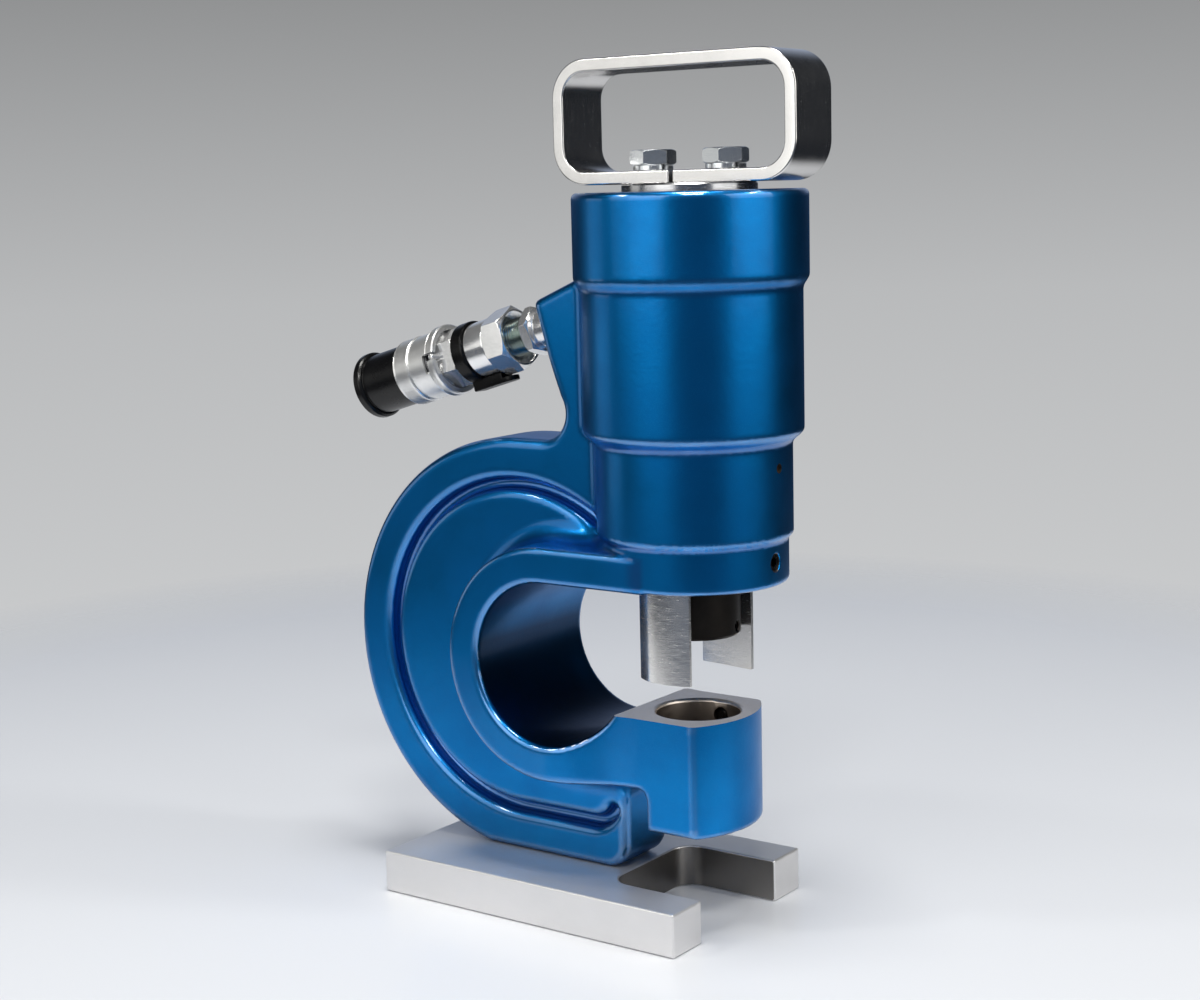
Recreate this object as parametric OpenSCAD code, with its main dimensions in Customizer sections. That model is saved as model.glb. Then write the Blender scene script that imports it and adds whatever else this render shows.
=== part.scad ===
// Free-standing hydraulic hole punch: C-frame casting with a single-acting,
// spring-return cylinder on a flat base plate. Millimetres, +Z up.
// The origin is the centre of the base plate's underside.
// Most modules are drawn about the punch axis and moved there by on_axis().

/* [Base plate] */
// Length of the base plate along X
base_l = 176; // [170:1:200]
// Width of the base plate along Y
base_w = 114; // [100:1:130]
// Thickness of the base plate
base_t = 21; // [18:0.5:26]
// How far the plate reaches in front of the punch axis
base_front = 21.6; // [15:0.2:28]
// Half width of the slug notch in the front edge
notch_half_w = 33; // [28:0.5:36]
// Radius of the notch's two rear corners
notch_r = 11; // [4:0.5:14]
// Thread diameter of the screws that hold the frame to the base
base_screw_d = 10; // [8:1:12]

/* [C-frame] */
// Radius of the work throat
throat_r = 40; // [34:0.5:44]
// Distance from the punch axis back to the throat's centre
throat_back = 61; // [57:0.5:64]
// Radial thickness of the wide band around the throat
band_t = 17.5; // [14:0.5:22]
// Half width of the spine plate
spine_half_w = 18.5; // [16:0.5:24]
// Outer radius of the spine
spine_r = 106.3; // [102:0.5:110]
// Distance from the punch axis back to the spine's centre
spine_back = 94; // [91:0.5:97]
// Radius of the groove that runs round the spine
groove_r = 82.6; // [80:0.2:85]
// Width of the groove
groove_w = 7.5; // [5:0.5:9]
// Depth of the groove
groove_depth = 6.5; // [3:0.5:7]
// Distance from the punch axis back to the end face of the foot
foot_end_back = 31; // [28:0.5:36]
// Radius of the foot's lower front corner
foot_r = 13; // [8:1:16]

/* [Lower jaw] */
// Height of the jaw's machined top face
jaw_top_z = 102.6; // [98:0.2:106]
// Height of the jaw block's underside
jaw_bottom_z = 48; // [44:0.5:56]
// Half width of the jaw beside the die
jaw_half_w = 30.5; // [28:0.5:36]
// How far the nose reaches in front of the punch axis
jaw_nose = 27.5; // [26:0.5:34]
// Diameter of the die seat
die_d = 40.5; // [36:0.5:44]
// Depth of the die seat
die_depth = 26; // [18:1:32]
// Width of the chamfer round the die seat
die_chamfer = 1.6; // [0.5:0.1:2.5]
// Diameter of the slug hole under the die
slug_d = 32; // [24:1:34]

/* [Cylinder] */
// Height of the collar's lower face
collar_z = 165.4; // [163:0.2:168]
// Radius of the collar
collar_r = 44.2; // [43:0.1:45]
// Radius of the waist above the collar
waist_r = 46.5; // [45.5:0.5:48]
// Radius of the main barrel
barrel_r = 52; // [50:0.5:54]
// Radius of the head
head_r = 55; // [54:0.5:58]
// Height of the head's top rim
head_z = 348.8; // [346:0.2:354]
// Diameter of the piston bore
piston_d = 80; // [74:1:82]
// Working stroke of the ram
stroke = 25; // [15:1:26]

/* [Ram and stripper] */
// Diameter of the ram
ram_d = 42; // [36:0.5:42]
// Height of the ram's lower end when it is drawn up
ram_z = 140.4; // [137:0.2:144]
// Diameter of the punch socket in the ram's end
socket_d = 26; // [18:0.5:28]
// Depth of the punch socket
socket_depth = 28; // [20:1:32]
// Outer diameter of the stripper
stripper_d = 56; // [54:0.5:60]
// Height of the stripper's feet
stripper_z = 120.2; // [116:0.1:124]
// Width of each stripper leg
leg_w = 31; // [24:0.5:34]
// Turn of the stripper about the punch axis in degrees
stripper_turn = -8; // [-15:1:15]

/* [Handle] */
// Outer length of the handle loop
handle_l = 132.5; // [120:0.5:150]
// Outer height of the handle loop
handle_h = 58.2; // [50:0.2:70]
// Width of the handle strip
handle_w = 32; // [26:0.5:36]
// Thickness of the handle strip
handle_t = 6; // [4:0.5:7]
// Outer bend radius of the handle
handle_r = 18; // [12:0.5:22]
// Distance between the two handle bolts
bolt_gap = 40; // [38:0.5:44]
// Thread diameter of the handle bolts
bolt_d = 12; // [10:1:12]
// Radius of the end cap's raised boss
cap_boss_r = 31.5; // [30.5:0.5:36]
// Height of the boss above the head's rim
cap_boss_h = 3.5; // [2:0.1:6]

/* [Coupler] */
// Downward tilt of the coupler in degrees
coupler_tilt = 16.1; // [10:0.1:20]
// Distance from the punch axis back to the centre of the boss face
boss_back = 77; // [75:0.5:80]
// Height of the centre of the boss face
boss_z = 286.2; // [282:0.2:288]
// Width across flats of the inlet nipple
nipple_af = 22; // [19:0.5:24]
// Width across flats of the coupler body
coupler_af = 29; // [27:0.5:31]
// Largest radius of the locking sleeve
sleeve_r = 18.2; // [17.5:0.1:20]
// Travel of the locking sleeve
sleeve_travel = 4.5; // [3:0.5:4.5]
// Radius of the dust cap's body
dust_cap_r = 15.5; // [14:0.1:17]

/* [Hidden] */
$fn = 96;
eps = 0.01;
over = 1;

// Clearances
run_gap = 0.05;
free_gap = 0.4;
slide_gap = 0.25;
hole_spare = 2;
seat_gap = 0.3;

// Places shared by several pieces
axis_x = base_l / 2 - base_front;
throat_z = collar_z - throat_r;
arm_top_z = collar_z + band_t;
arm_bottom_z = throat_z - throat_r - band_t;
spine_z = 124.5;
groove_lift = 1;
groove_z = spine_z + groove_lift;
die_r = die_d / 2;
ram_r = ram_d / 2;
piston_r = piston_d / 2;
stripper_r = stripper_d / 2;

// Heights inside the cylinder
stripper_ring_z = collar_z + 7;
bush_z = collar_z + 25;
wiper_h = 4;
spring_seat_z = bush_z + 16;
bore_z = 238;
piston_h = 22;
piston_z = bore_z + 3 + stroke;
piston_top_z = piston_z + piston_h;
cap_z = piston_top_z + 12;
thread_z = cap_z + 6;
thread_r = piston_r + 4;
cap_top_z = head_z - 3;
boss_top_z = head_z + cap_boss_h;
chamber_r = piston_r - 6;
bush_r = ram_r + 6;
spring_wire = 6.5;
spring_mean_r = (ram_r + chamber_r) / 2 + 1;
spring_turns = 4.5;

// Threads and screws
m8_r = 4;
m5_r = 2.5;
stripper_screw_z = collar_z + 12.6;
die_screw_z = jaw_top_z - 7.6;
punch_screw_z = ram_z + 4.5;
punch_screw_turn = 10;
screw_sink = 1.2;
vent_z = 222;
vent_r = 2.25;
vent_sink = 1.5;
vent_filter_t = 3;
piston_screw_r = 8;

// Handle bolt stack
washer_t = 2.5;
washer_r = bolt_d * 0.78;
bolt_head_h = bolt_d * 0.6;
bolt_af = bolt_d * 1.58;
bolt_under = 24;

// Stations along the coupler, measured outward from the boss face
seal_t = 1.6;
neck_s = seal_t + 10.2;
nipple_s = neck_s + 5.5;
body_s = nipple_s + 8.7;
hex_s = body_s + 13.2;
barrel_s = hex_s + 12.7;
ring_s = barrel_s + 7.5;
flats_s = ring_s + 9.6;
sleeve_s = flats_s + 0.4;
knurl_s = sleeve_s + 5.6;
band_s = knurl_s + 13.2;
sleeve_end_s = band_s + 10.6;
body_end_s = sleeve_end_s - 1.7;
cap_s = sleeve_end_s + seat_gap;
cap_body_l = 23;
cap_flange_t = 6;
inlet_thread_r = 8.2;
nipple_neck_r = 9.8;
inlet_thread_l = 14;
oil_r = 4;
body_thread_r = 9.5;
body_thread_l = 13;
coupler_r = 14;
ring_seat_r = 13.2;
ring_r = 15.5;
flats_af = 26;
hex_turn = 0;
tube_r = 12.7;
spring_bore_r = 15.4;
land_r = 13;
socket_r = 10.4;
valve_r = 8.5;
valve_s = ring_s + 2;
lip_s = sleeve_end_s - 19.3;
lip_t = 3;
lip_r = 6.2;
poppet_head_l = 4;
ball_r = 1.6;
ball_ring_r = 11.3;
ball_s = lip_s + lip_t + 7;
ball_count = 6;
snap_t = 1.4;
snap_s = body_end_s - snap_t;
shoulder_s = band_s - 2.4;
pin_r = 1.5;
pin_s = sleeve_s + pin_r + 0.3;
guide_r = 15;
guide_s = pin_s + pin_r + 1;
pin_angle = -80;
pin_sink = 1.5;
pin_short = 0.6;
small_wire = 1.6;
sleeve_groove = 1.7;
front_band_drop = 1.2;
seal_s = lip_s + lip_t + 1.5;
seal_w = 1.5;
seal_len = 2;
snap_depth = 0.8;
snap_play = 0.2;
snap_open = 4;
stem_r = 2.5;
stem_start = 6;
nose_l = 2;
cap_wall = 3;
flange_rise = 1.8;

// Placement helpers
module on_axis() translate([axis_x, 0, 0]) children();

module side_extrude(half_w) rotate([90, 0, 0]) linear_extrude(2 * half_w, center = true) children();

module on_coupler()
    on_axis() translate([-boss_back, 0, boss_z]) rotate([0, -90 - coupler_tilt, 0]) children();

module ring(r_in, r_out, z0, z1)
    translate([0, 0, z0]) difference() {
        cylinder(r = r_out, h = z1 - z0);
        translate([0, 0, -over]) cylinder(r = r_in, h = z1 - z0 + 2 * over);
    }

module rod(r, z0, z1) translate([0, 0, z0]) cylinder(r = r, h = z1 - z0);

module hex(af, z0, z1) translate([0, 0, z0]) cylinder(d = af / cos(30), h = z1 - z0, $fn = 6);

// A hex bar whose corners are turned down to a chamfer at both ends
module chamfered_hex(af, z0, z1) {
    corner_r = af / 2 / cos(30);
    turn = corner_r - af / 2;
    intersection() {
        hex(af, z0, z1);
        rotate_extrude() polygon([[0, z0], [af / 2, z0], [af / 2 + turn + eps, z0 + turn],
            [af / 2 + turn + eps, z1 - turn], [af / 2, z1], [0, z1]]);
    }
}

// A grub screw along +X with its hex socket at the outer end
module grub_screw(r, x0, x1)
    translate([x0, 0, 0]) rotate([0, 90, 0]) difference() {
        cylinder(r = r, h = x1 - x0);
        hex(r, x1 - x0 - r, x1 - x0 + over);
    }

module rounded_rect(l, h, r) {
    translate([r, 0]) square([l - 2 * r, h]);
    translate([0, r]) square([l, h - 2 * r]);
    for (x = [r, l - r], z = [r, h - r]) translate([x, z]) circle(r);
}

// One unbroken coil of wire
function coil_point(mean_r, z0, pitch, a) = [mean_r * cos(a), mean_r * sin(a), z0 + pitch * a / 360];

module coil(mean_r, wire, z0, z1, turns, per_turn = 16, sides = 8) {
    pitch = (z1 - z0 - wire) / turns;
    steps = round(turns * per_turn);
    echo(coil_least_gap = pitch - wire);
    points = [for (i = [0:steps], k = [0:sides - 1])
        let (a = i * 360 / per_turn, b = k * 360 / sides, c = coil_point(mean_r, z0 + wire / 2, pitch, a))
        c + wire / 2 * [cos(b) * cos(a), cos(b) * sin(a), sin(b)]];
    side_faces = [for (i = [0:steps - 1], k = [0:sides - 1])
        let (j = (k + 1) % sides, p = i * sides, q = p + sides)
        each [[p + k, q + k, q + j], [p + k, q + j, p + j]]];
    first_cap = [for (k = [1:sides - 2]) [0, k, k + 1]];
    last_cap = [for (k = [1:sides - 2]) [steps * sides, steps * sides + k + 1, steps * sides + k]];
    polyhedron(points, concat(side_faces, first_cap, last_cap));
}

// Base plate and its screws
base_screw_xs = [-111, -83, -55];
base_head_r = base_screw_d * 0.8;
base_head_h = base_screw_d;
base_head_z = 1.5;

module notch_outline() {
    depth = foot_end_back + base_front;
    translate([-foot_end_back, -notch_half_w + notch_r]) square([depth + over, 2 * (notch_half_w - notch_r)]);
    translate([-foot_end_back + notch_r, -notch_half_w]) square([depth - notch_r + over, 2 * notch_half_w]);
    for (side = [-1, 1])
        translate([-foot_end_back + notch_r, side * (notch_half_w - notch_r)]) circle(notch_r);
}

module base_plate() color("darkgray") difference() {
    linear_extrude(base_t) difference() {
        square([base_l, base_w], center = true);
        translate([axis_x, 0]) notch_outline();
    }
    on_axis() for (x = base_screw_xs) translate([x, 0, 0]) {
        rod(base_screw_d / 2 + seat_gap, -over, base_t + over);
        rod(base_head_r + free_gap, -over, base_head_z + base_head_h);
    }
}

module base_screws() color("dimgray") on_axis() for (x = base_screw_xs) translate([x, 0, 0]) difference() {
    union() {
        rod(base_head_r, base_head_z, base_head_z + base_head_h);
        rod(base_screw_d / 2, base_head_z + base_head_h - eps, base_t + 2 * base_screw_d);
    }
    hex(base_screw_d * 0.8, base_head_z - over, base_head_z + base_head_h / 2);
}

// Side outlines of the casting, drawn in X and Z
boss_up = [-sin(coupler_tilt), cos(coupler_tilt)];
boss_mid = [-boss_back, boss_z];
boss_above = 12;
boss_below = 17.5;
boss_top = boss_mid + boss_above * boss_up;
boss_low = boss_mid - boss_below * boss_up;
neck_r = 13.5;
neck_back = 3;
neck_rise = 12;
neck_meet = 33;
neck_round = [boss_low.x - neck_back, spine_z + spine_r + neck_r];

module throat_outline() {
    translate([-throat_back, throat_z]) circle(throat_r);
    translate([-throat_back, jaw_top_z]) square([throat_back + head_r, collar_z - jaw_top_z]);
}

module neck_outline() difference() {
    polygon([[0, boss_top.y + neck_rise], [-barrel_r, boss_top.y + neck_rise], boss_top, boss_low,
        neck_round + neck_r * [cos(neck_meet), sin(neck_meet)], neck_round, [neck_round.x, spine_z + spine_r],
        [-spine_back, spine_z + spine_r], [0, spine_z]]);
    translate(neck_round) circle(neck_r);
}

module foot_outline() {
    mid = -spine_back;
    end = -foot_end_back;
    top = arm_bottom_z + band_t / 2;
    translate([mid, base_t + foot_r]) square([end - mid, top - base_t - foot_r]);
    translate([mid, base_t]) square([end - foot_r - mid, foot_r + eps]);
    translate([end - foot_r, base_t + foot_r]) circle(foot_r);
}

module spine_outline() {
    reach = spine_back + spine_r + over;
    intersection() {
        translate([-spine_back, spine_z]) circle(spine_r);
        union() {
            translate([-reach, throat_z]) square([reach - ram_r, head_z]);
            translate([-reach, base_t]) square([reach - foot_end_back, throat_z - base_t]);
        }
    }
    foot_outline();
    neck_outline();
}

// The groove follows the spine, runs level above the foot and turns up at its end
groove_run = 42.3;
groove_end_r = 14;
groove_from = 45;
groove_end_turn = 62;

module groove_ring(r) difference() {
    circle(r + groove_w / 2);
    circle(r - groove_w / 2);
}

module groove_outline() {
    far = 2 * groove_r;
    translate([-spine_back, groove_z]) difference() {
        groove_ring(groove_r);
        polygon([[0, 0], [0, -far], [far, -far], [far, far * tan(groove_from)]]);
    }
    translate([-spine_back, groove_z - groove_r - groove_w / 2]) square([groove_run, groove_w]);
    translate([groove_run - spine_back, groove_z - groove_r + groove_end_r]) intersection() {
        groove_ring(groove_end_r);
        polygon([[0, 0], [0, -far], [far * sin(groove_end_turn), -far * cos(groove_end_turn)]]);
    }
}

module spine_plate() difference() {
    side_extrude(spine_half_w) spine_outline();
    for (side = [-1, 1])
        translate([0, side * (spine_half_w + over), 0]) side_extrude(groove_depth + over) groove_outline();
}

// The wide band round the throat, the arm that carries the collar and the lower jaw, seen from the side
jaw_wall_x = -11;
jaw_corner_r = 6;

module band_outline() {
    translate([-throat_back, throat_z]) circle(throat_r + band_t);
    translate([-throat_back, collar_z]) square([throat_back, band_t]);
    translate([-throat_back, arm_bottom_z]) square([throat_back + jaw_nose, jaw_top_z - arm_bottom_z]);
    translate([jaw_wall_x, jaw_bottom_z]) square([jaw_nose - jaw_wall_x, jaw_top_z - jaw_bottom_z]);
    difference() {
        translate([jaw_wall_x - jaw_corner_r, arm_bottom_z - jaw_corner_r]) square(2 * jaw_corner_r);
        translate([jaw_wall_x - jaw_corner_r, arm_bottom_z - jaw_corner_r]) circle(jaw_corner_r);
    }
}

// The jaw narrows from the band's width to the width beside the die, and has a curved nose
taper_from = -58;
taper_to = -22;
taper_steps = 16;
nose_corner = 16;
nose_r = (pow(jaw_half_w, 2) + pow(jaw_nose - nose_corner, 2)) / 2 / (jaw_nose - nose_corner);

function taper_half_w(t) = collar_r + (jaw_half_w - collar_r) * t * t * (3 - 2 * t);

module jaw_plan() {
    sides = [for (i = [0:taper_steps]) let (t = i / taper_steps)
        [taper_from + t * (taper_to - taper_from), taper_half_w(t)]];
    upper = concat([[taper_from - over, collar_r]], sides, [[nose_corner, jaw_half_w]]);
    lower = [for (i = [len(upper) - 1:-1:0]) [upper[i].x, -upper[i].y]];
    polygon(concat(upper, lower));
    intersection() {
        translate([jaw_nose - nose_r, 0]) circle(nose_r);
        translate([0, -jaw_half_w]) square([jaw_nose, 2 * jaw_half_w]);
    }
}

module jaw_side_cut() {
    low = jaw_bottom_z - over;
    difference() {
        translate([taper_from, -collar_r - over, low])
            cube([jaw_nose + over - taper_from, 2 * (collar_r + over), throat_z - low]);
        translate([0, 0, low - over]) linear_extrude(throat_z) jaw_plan();
    }
}

module band_and_jaw() difference() {
    side_extrude(collar_r) band_outline();
    jaw_side_cut();
}

// The cylinder's turned outside, from the collar up to the head's rim
step_z = 187;
shoulder_z = 238.4;
head_low_z = 310;
step_rise = 2;
taper_h = 7;
edge = 3;

module barrel_outside() rotate_extrude() polygon([[0, collar_z], [collar_r - edge, collar_z],
    [collar_r, collar_z + edge], [collar_r, step_z], [waist_r, step_z + step_rise], [waist_r, shoulder_z - taper_h],
    [barrel_r, shoulder_z], [barrel_r, head_low_z - taper_h], [head_r, head_low_z], [head_r, head_z - edge],
    [head_r - edge, head_z], [0, head_z]]);

module cylinder_bores() {
    rod(stripper_r + run_gap, collar_z - over, bush_z);
    rod(bush_r, bush_z - eps, spring_seat_z + eps);
    rod(chamber_r, spring_seat_z, bore_z + eps);
    rod(piston_r, bore_z, thread_z + eps);
    rod(thread_r, thread_z, head_z + over);
}

module jaw_bores() {
    rod(die_r, jaw_top_z - die_depth, jaw_top_z + over);
    rod(slug_d / 2, jaw_bottom_z - over, jaw_top_z - die_depth + eps);
    translate([0, 0, jaw_top_z - die_chamfer])
        cylinder(r1 = die_r, r2 = die_r + die_chamfer + over, h = die_chamfer + over);
    translate([0, 0, die_screw_z]) rotate([-90, 0, 0]) cylinder(r = m8_r, h = jaw_half_w + over);
}

module oil_port() {
    rod(inlet_thread_r, -inlet_thread_l, over);
    rod(oil_r, piston_r - boss_back - 2 * oil_r, 0);
}

module frame_casting() color("royalblue") difference() {
    on_axis() difference() {
        union() {
            spine_plate();
            band_and_jaw();
            barrel_outside();
        }
        side_extrude(collar_r + over) throat_outline();
        cylinder_bores();
        jaw_bores();
        translate([0, 0, stripper_screw_z]) rotate([0, 90, 0]) rod(m8_r, ram_r, collar_r + over);
        translate([0, 0, vent_z]) rotate([0, 90, 0]) {
            rod(vent_r, waist_r - vent_sink - vent_filter_t, waist_r + over);
            rod(vent_r / 2, ram_r, waist_r);
        }
        for (x = base_screw_xs) translate([x, 0, 0]) 
            rod(base_screw_d / 2, base_t - over, base_t + 2 * base_screw_d + hole_spare);
    }
    on_coupler() oil_port();
}

// End cap with the boss that carries the handle
cap_groove_z = cap_z + 1.5;
cap_groove_t = 3;
cap_groove_depth = 2.5;
stop_r = 13;
bolt_low_z = boss_top_z - bolt_under;

module bolt_places() for (side = [-1, 1]) translate([side * bolt_gap / 2, 0, 0]) children();

module end_cap() color("silver") on_axis() difference() {
    union() {
        rod(piston_r - run_gap, cap_z, thread_z + eps);
        rod(thread_r, thread_z, cap_top_z);
        rod(cap_boss_r, cap_top_z - eps, boss_top_z);
        rod(stop_r, piston_top_z, cap_z + eps);
    }
    ring(piston_r - cap_groove_depth, piston_r + over, cap_groove_z, cap_groove_z + cap_groove_t);
    bolt_places() rod(bolt_d / 2, bolt_low_z - hole_spare, boss_top_z + over);
}

module end_cap_seal() color("black") on_axis()
    ring(piston_r - cap_groove_depth, piston_r, cap_groove_z, cap_groove_z + cap_groove_t);

// Handle: a flat strip bent to a loop, open in the middle of its lower run
handle_gap = 2;

module handle_strap() color("lightgray") on_axis() difference() {
    translate([-handle_l / 2, 0, boss_top_z]) side_extrude(handle_w / 2) difference() {
        rounded_rect(handle_l, handle_h, handle_r);
        translate([handle_t, handle_t]) rounded_rect(handle_l - 2 * handle_t, handle_h - 2 * handle_t,
            handle_r - handle_t);
        translate([(handle_l - handle_gap) / 2, -over]) square([handle_gap, handle_t + 2 * over]);
    }
    bolt_places() rod(bolt_d / 2 + seat_gap, boss_top_z - over, boss_top_z + handle_t + over);
}

// How far each bolt's head was turned when it was tightened
bolt_turns = [-21.5, -16];

module handle_bolts() color("silver") on_axis() {
    seat = boss_top_z + handle_t + washer_t;
    for (i = [0, 1]) translate([(i - 0.5) * bolt_gap, 0, 0]) {
        rotate([0, 0, bolt_turns[i]]) chamfered_hex(bolt_af, seat, seat + bolt_head_h);
        rod(bolt_d / 2, bolt_low_z, seat + eps);
    }
}

// Split spring washers
washer_split = 1;

module handle_washers() color("silver") on_axis() bolt_places() difference() {
    ring(bolt_d / 2 + seat_gap, washer_r, boss_top_z + handle_t, boss_top_z + handle_t + washer_t);
    translate([bolt_d / 2, -washer_split / 2, boss_top_z]) cube([bolt_d, washer_split, handle_t + washer_t + over]);
}

// Rod guide, stripper and grub screws
module rod_bush() color("goldenrod") on_axis()
    ring(ram_r + run_gap, bush_r, bush_z + wiper_h, spring_seat_z);

module rod_wiper() color("black") on_axis() ring(ram_r + run_gap, bush_r, bush_z, bush_z + wiper_h);

// The stripper is a turned sleeve: a ring in the collar and two legs left beside the ram's slot
stripper_bore_r = ram_r + slide_gap;
slot_half_w = stripper_bore_r + free_gap;
stripper_cup = 1;

module stripper_slot() {
    low = stripper_z - over;
    leg_h = stripper_ring_z - low;
    reach = stripper_r + over;
    translate([-reach, -slot_half_w, low]) cube([2 * reach, 2 * slot_half_w, leg_h]);
    for (side = [-1, 1])
        translate([side > 0 ? leg_w / 2 : -leg_w / 2 - reach, -reach, low]) cube([reach, 2 * reach, leg_h]);
}

module stripper() color("gainsboro") on_axis() difference() {
    rotate([0, 0, 45]) rod(stripper_r, stripper_z, bush_z);
    rotate([0, 0, 45]) rod(stripper_bore_r, stripper_z - over, bush_z + over);
    rotate([0, 0, stripper_turn]) stripper_slot();
    translate([0, 0, stripper_screw_z]) rotate([0, 90, 0]) rod(m8_r, stripper_r - stripper_cup, stripper_r + over);
}

module stripper_screw() color("dimgray") on_axis() translate([0, 0, stripper_screw_z])
    grub_screw(m8_r, stripper_r - stripper_cup, collar_r - screw_sink);

module vent_filter() color("peru") on_axis() translate([0, 0, vent_z]) rotate([0, 90, 0])
    rod(vent_r, waist_r - vent_sink - vent_filter_t, waist_r - vent_sink);

module die_screw() color("dimgray") on_axis() translate([0, 0, die_screw_z]) rotate([0, 0, 90])
    grub_screw(m8_r, die_r + seat_gap, jaw_half_w - screw_sink);

// Ram, piston and what they carry
spigot_r = 14;
wear_z = piston_z + 4;
wear_h = 5;
seal_z = piston_z + 12.5;
seal_h = 5.5;
land_depth = 3;
screw_head_h = 10;
screw_head_r = 12;
screw_depth = 28;

module ram() color("dimgray") on_axis() difference() {
    union() {
        rod(ram_r, ram_z, piston_z);
        rod(spigot_r, piston_z - eps, piston_z + piston_h / 2 - over);
    }
    rod(socket_d / 2, ram_z - over, ram_z + socket_depth);
    rod(piston_screw_r, piston_z - screw_depth - hole_spare, piston_z + piston_h);
    translate([0, 0, punch_screw_z]) rotate([0, 0, punch_screw_turn]) rotate([0, 90, 0]) rod(m5_r, 0, ram_r + over);
}

module piston() color("silver") on_axis() difference() {
    rod(piston_r - run_gap, piston_z, piston_top_z);
    ring(piston_r - land_depth, piston_r + over, wear_z, wear_z + wear_h);
    ring(piston_r - land_depth, piston_r + over, seal_z, seal_z + seal_h);
    rod(spigot_r, piston_z - over, piston_z + piston_h / 2 - over);
    rod(piston_screw_r, piston_z, piston_top_z);
    rod(screw_head_r, piston_top_z - screw_head_h, piston_top_z + over);
}

module piston_screw() color("dimgray") on_axis() difference() {
    union() {
        rod(screw_head_r, piston_top_z - screw_head_h, piston_top_z - over);
        rod(piston_screw_r, piston_z - screw_depth, piston_top_z - screw_head_h + eps);
    }
    hex(screw_head_r, piston_top_z - screw_head_h / 2, piston_top_z);
}

module piston_seal() color("black") on_axis()
    ring(piston_r - land_depth, piston_r - run_gap, seal_z, seal_z + seal_h);

module piston_wear_band() color("peru") on_axis()
    ring(piston_r - land_depth, piston_r - run_gap, wear_z, wear_z + wear_h);

module punch_screw() color("dimgray") on_axis() translate([0, 0, punch_screw_z])
    rotate([0, 0, punch_screw_turn]) grub_screw(m5_r, socket_d / 2 + seat_gap, ram_r - screw_sink);

module return_spring() color("slategray") on_axis()
    coil(spring_mean_r, spring_wire, spring_seat_z, piston_z, spring_turns);

// Inlet nipple and quick coupler, drawn outward from the boss face
module inlet_nipple() color("lightgray") on_coupler() difference() {
    union() {
        rod(inlet_thread_r, -inlet_thread_l + over, seal_t + eps);
        rod(nipple_neck_r, seal_t, neck_s + eps);
        chamfered_hex(nipple_af, neck_s, nipple_s);
        rod(body_thread_r, nipple_s - eps, body_s + body_thread_l);
    }
    rod(oil_r, -inlet_thread_l, body_s + body_thread_l + over);
}

module nipple_seal() color("dimgray") on_coupler() ring(inlet_thread_r, nipple_af / 2, 0, seal_t);

module coupler_body() color("lightgray") on_coupler() difference() {
    union() {
        rotate([0, 0, hex_turn]) chamfered_hex(coupler_af, body_s, hex_s);
        rod(coupler_r, hex_s - eps, barrel_s);
        rod(ring_seat_r, barrel_s - eps, ring_s + eps);
        rotate([0, 0, hex_turn]) chamfered_hex(flats_af, ring_s, flats_s);
        rod(tube_r, flats_s - eps, body_end_s);
        rod(guide_r, flats_s - eps, guide_s);
    }
    rod(body_thread_r, body_s - over, body_s + body_thread_l);
    rod(oil_r, body_s, valve_s + eps);
    rod(valve_r, valve_s, lip_s);
    rod(lip_r, lip_s - eps, lip_s + lip_t + eps);
    rod(socket_r, lip_s + lip_t, body_end_s + over);
    ring(socket_r - eps, socket_r + seal_w, seal_s, seal_s + seal_len);
    ring(tube_r - snap_depth, tube_r + over, snap_s, snap_s + snap_t - snap_play);
    for (i = [0:ball_count - 1]) rotate([0, 0, i * 360 / ball_count]) translate([0, 0, ball_s])
        rotate([0, 90, 0]) rod(ball_r + run_gap, valve_r, tube_r + over);
    rotate([0, 0, pin_angle]) translate([0, 0, pin_s]) rotate([0, 90, 0]) rod(pin_r, tube_r - pin_sink, guide_r + over);
}

module coupler_poppet() color("silver") on_coupler() {
    rod(stem_r, valve_s + stem_start, lip_s - poppet_head_l + eps);
    rod(valve_r - run_gap, lip_s - poppet_head_l, lip_s);
    rod(lip_r - free_gap, lip_s - eps, lip_s + lip_t + nose_l);
}

module poppet_spring() color("slategray") on_coupler()
    coil(valve_r - small_wire - 1, small_wire, valve_s, lip_s - poppet_head_l, 4.5);

module socket_seal() color("black") on_coupler()
    ring(socket_r, socket_r + seal_w, seal_s, seal_s + seal_len);

module locking_sleeve() color("silver") on_coupler() difference() {
    union() {
        rod(sleeve_r, sleeve_s, knurl_s);
        rod(sleeve_r - sleeve_groove, knurl_s - eps, band_s + eps);
        rod(sleeve_r - front_band_drop, band_s, sleeve_end_s);
    }
    rod(spring_bore_r, sleeve_s - over, shoulder_s);
    rod(land_r, sleeve_s, sleeve_end_s + over);
    rod(land_r + front_band_drop, snap_s, sleeve_end_s + over);
    rotate([0, 0, pin_angle]) {
        notch_l = pin_s + pin_r + sleeve_travel + free_gap;
        notch_w = 2 * (pin_r + free_gap);
        translate([land_r, -notch_w / 2, sleeve_s - over]) cube([sleeve_r, notch_w, notch_l - sleeve_s + over]);
        translate([land_r, -2 * notch_w, notch_l - notch_w]) cube([sleeve_r, 2 * notch_w, notch_w]);
    }
}

module sleeve_spring() color("slategray") on_coupler()
    coil((tube_r + spring_bore_r) / 2, small_wire, guide_s, shoulder_s, 2.5);

module lock_balls() color("silver") on_coupler() for (i = [0:ball_count - 1])
    rotate([0, 0, i * 360 / ball_count]) translate([ball_ring_r, 0, ball_s]) sphere(ball_r);

module lock_pin() color("silver") on_coupler() rotate([0, 0, pin_angle]) translate([0, 0, pin_s])
    rotate([0, 90, 0]) rod(pin_r, tube_r - pin_sink, sleeve_r - pin_short);

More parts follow.
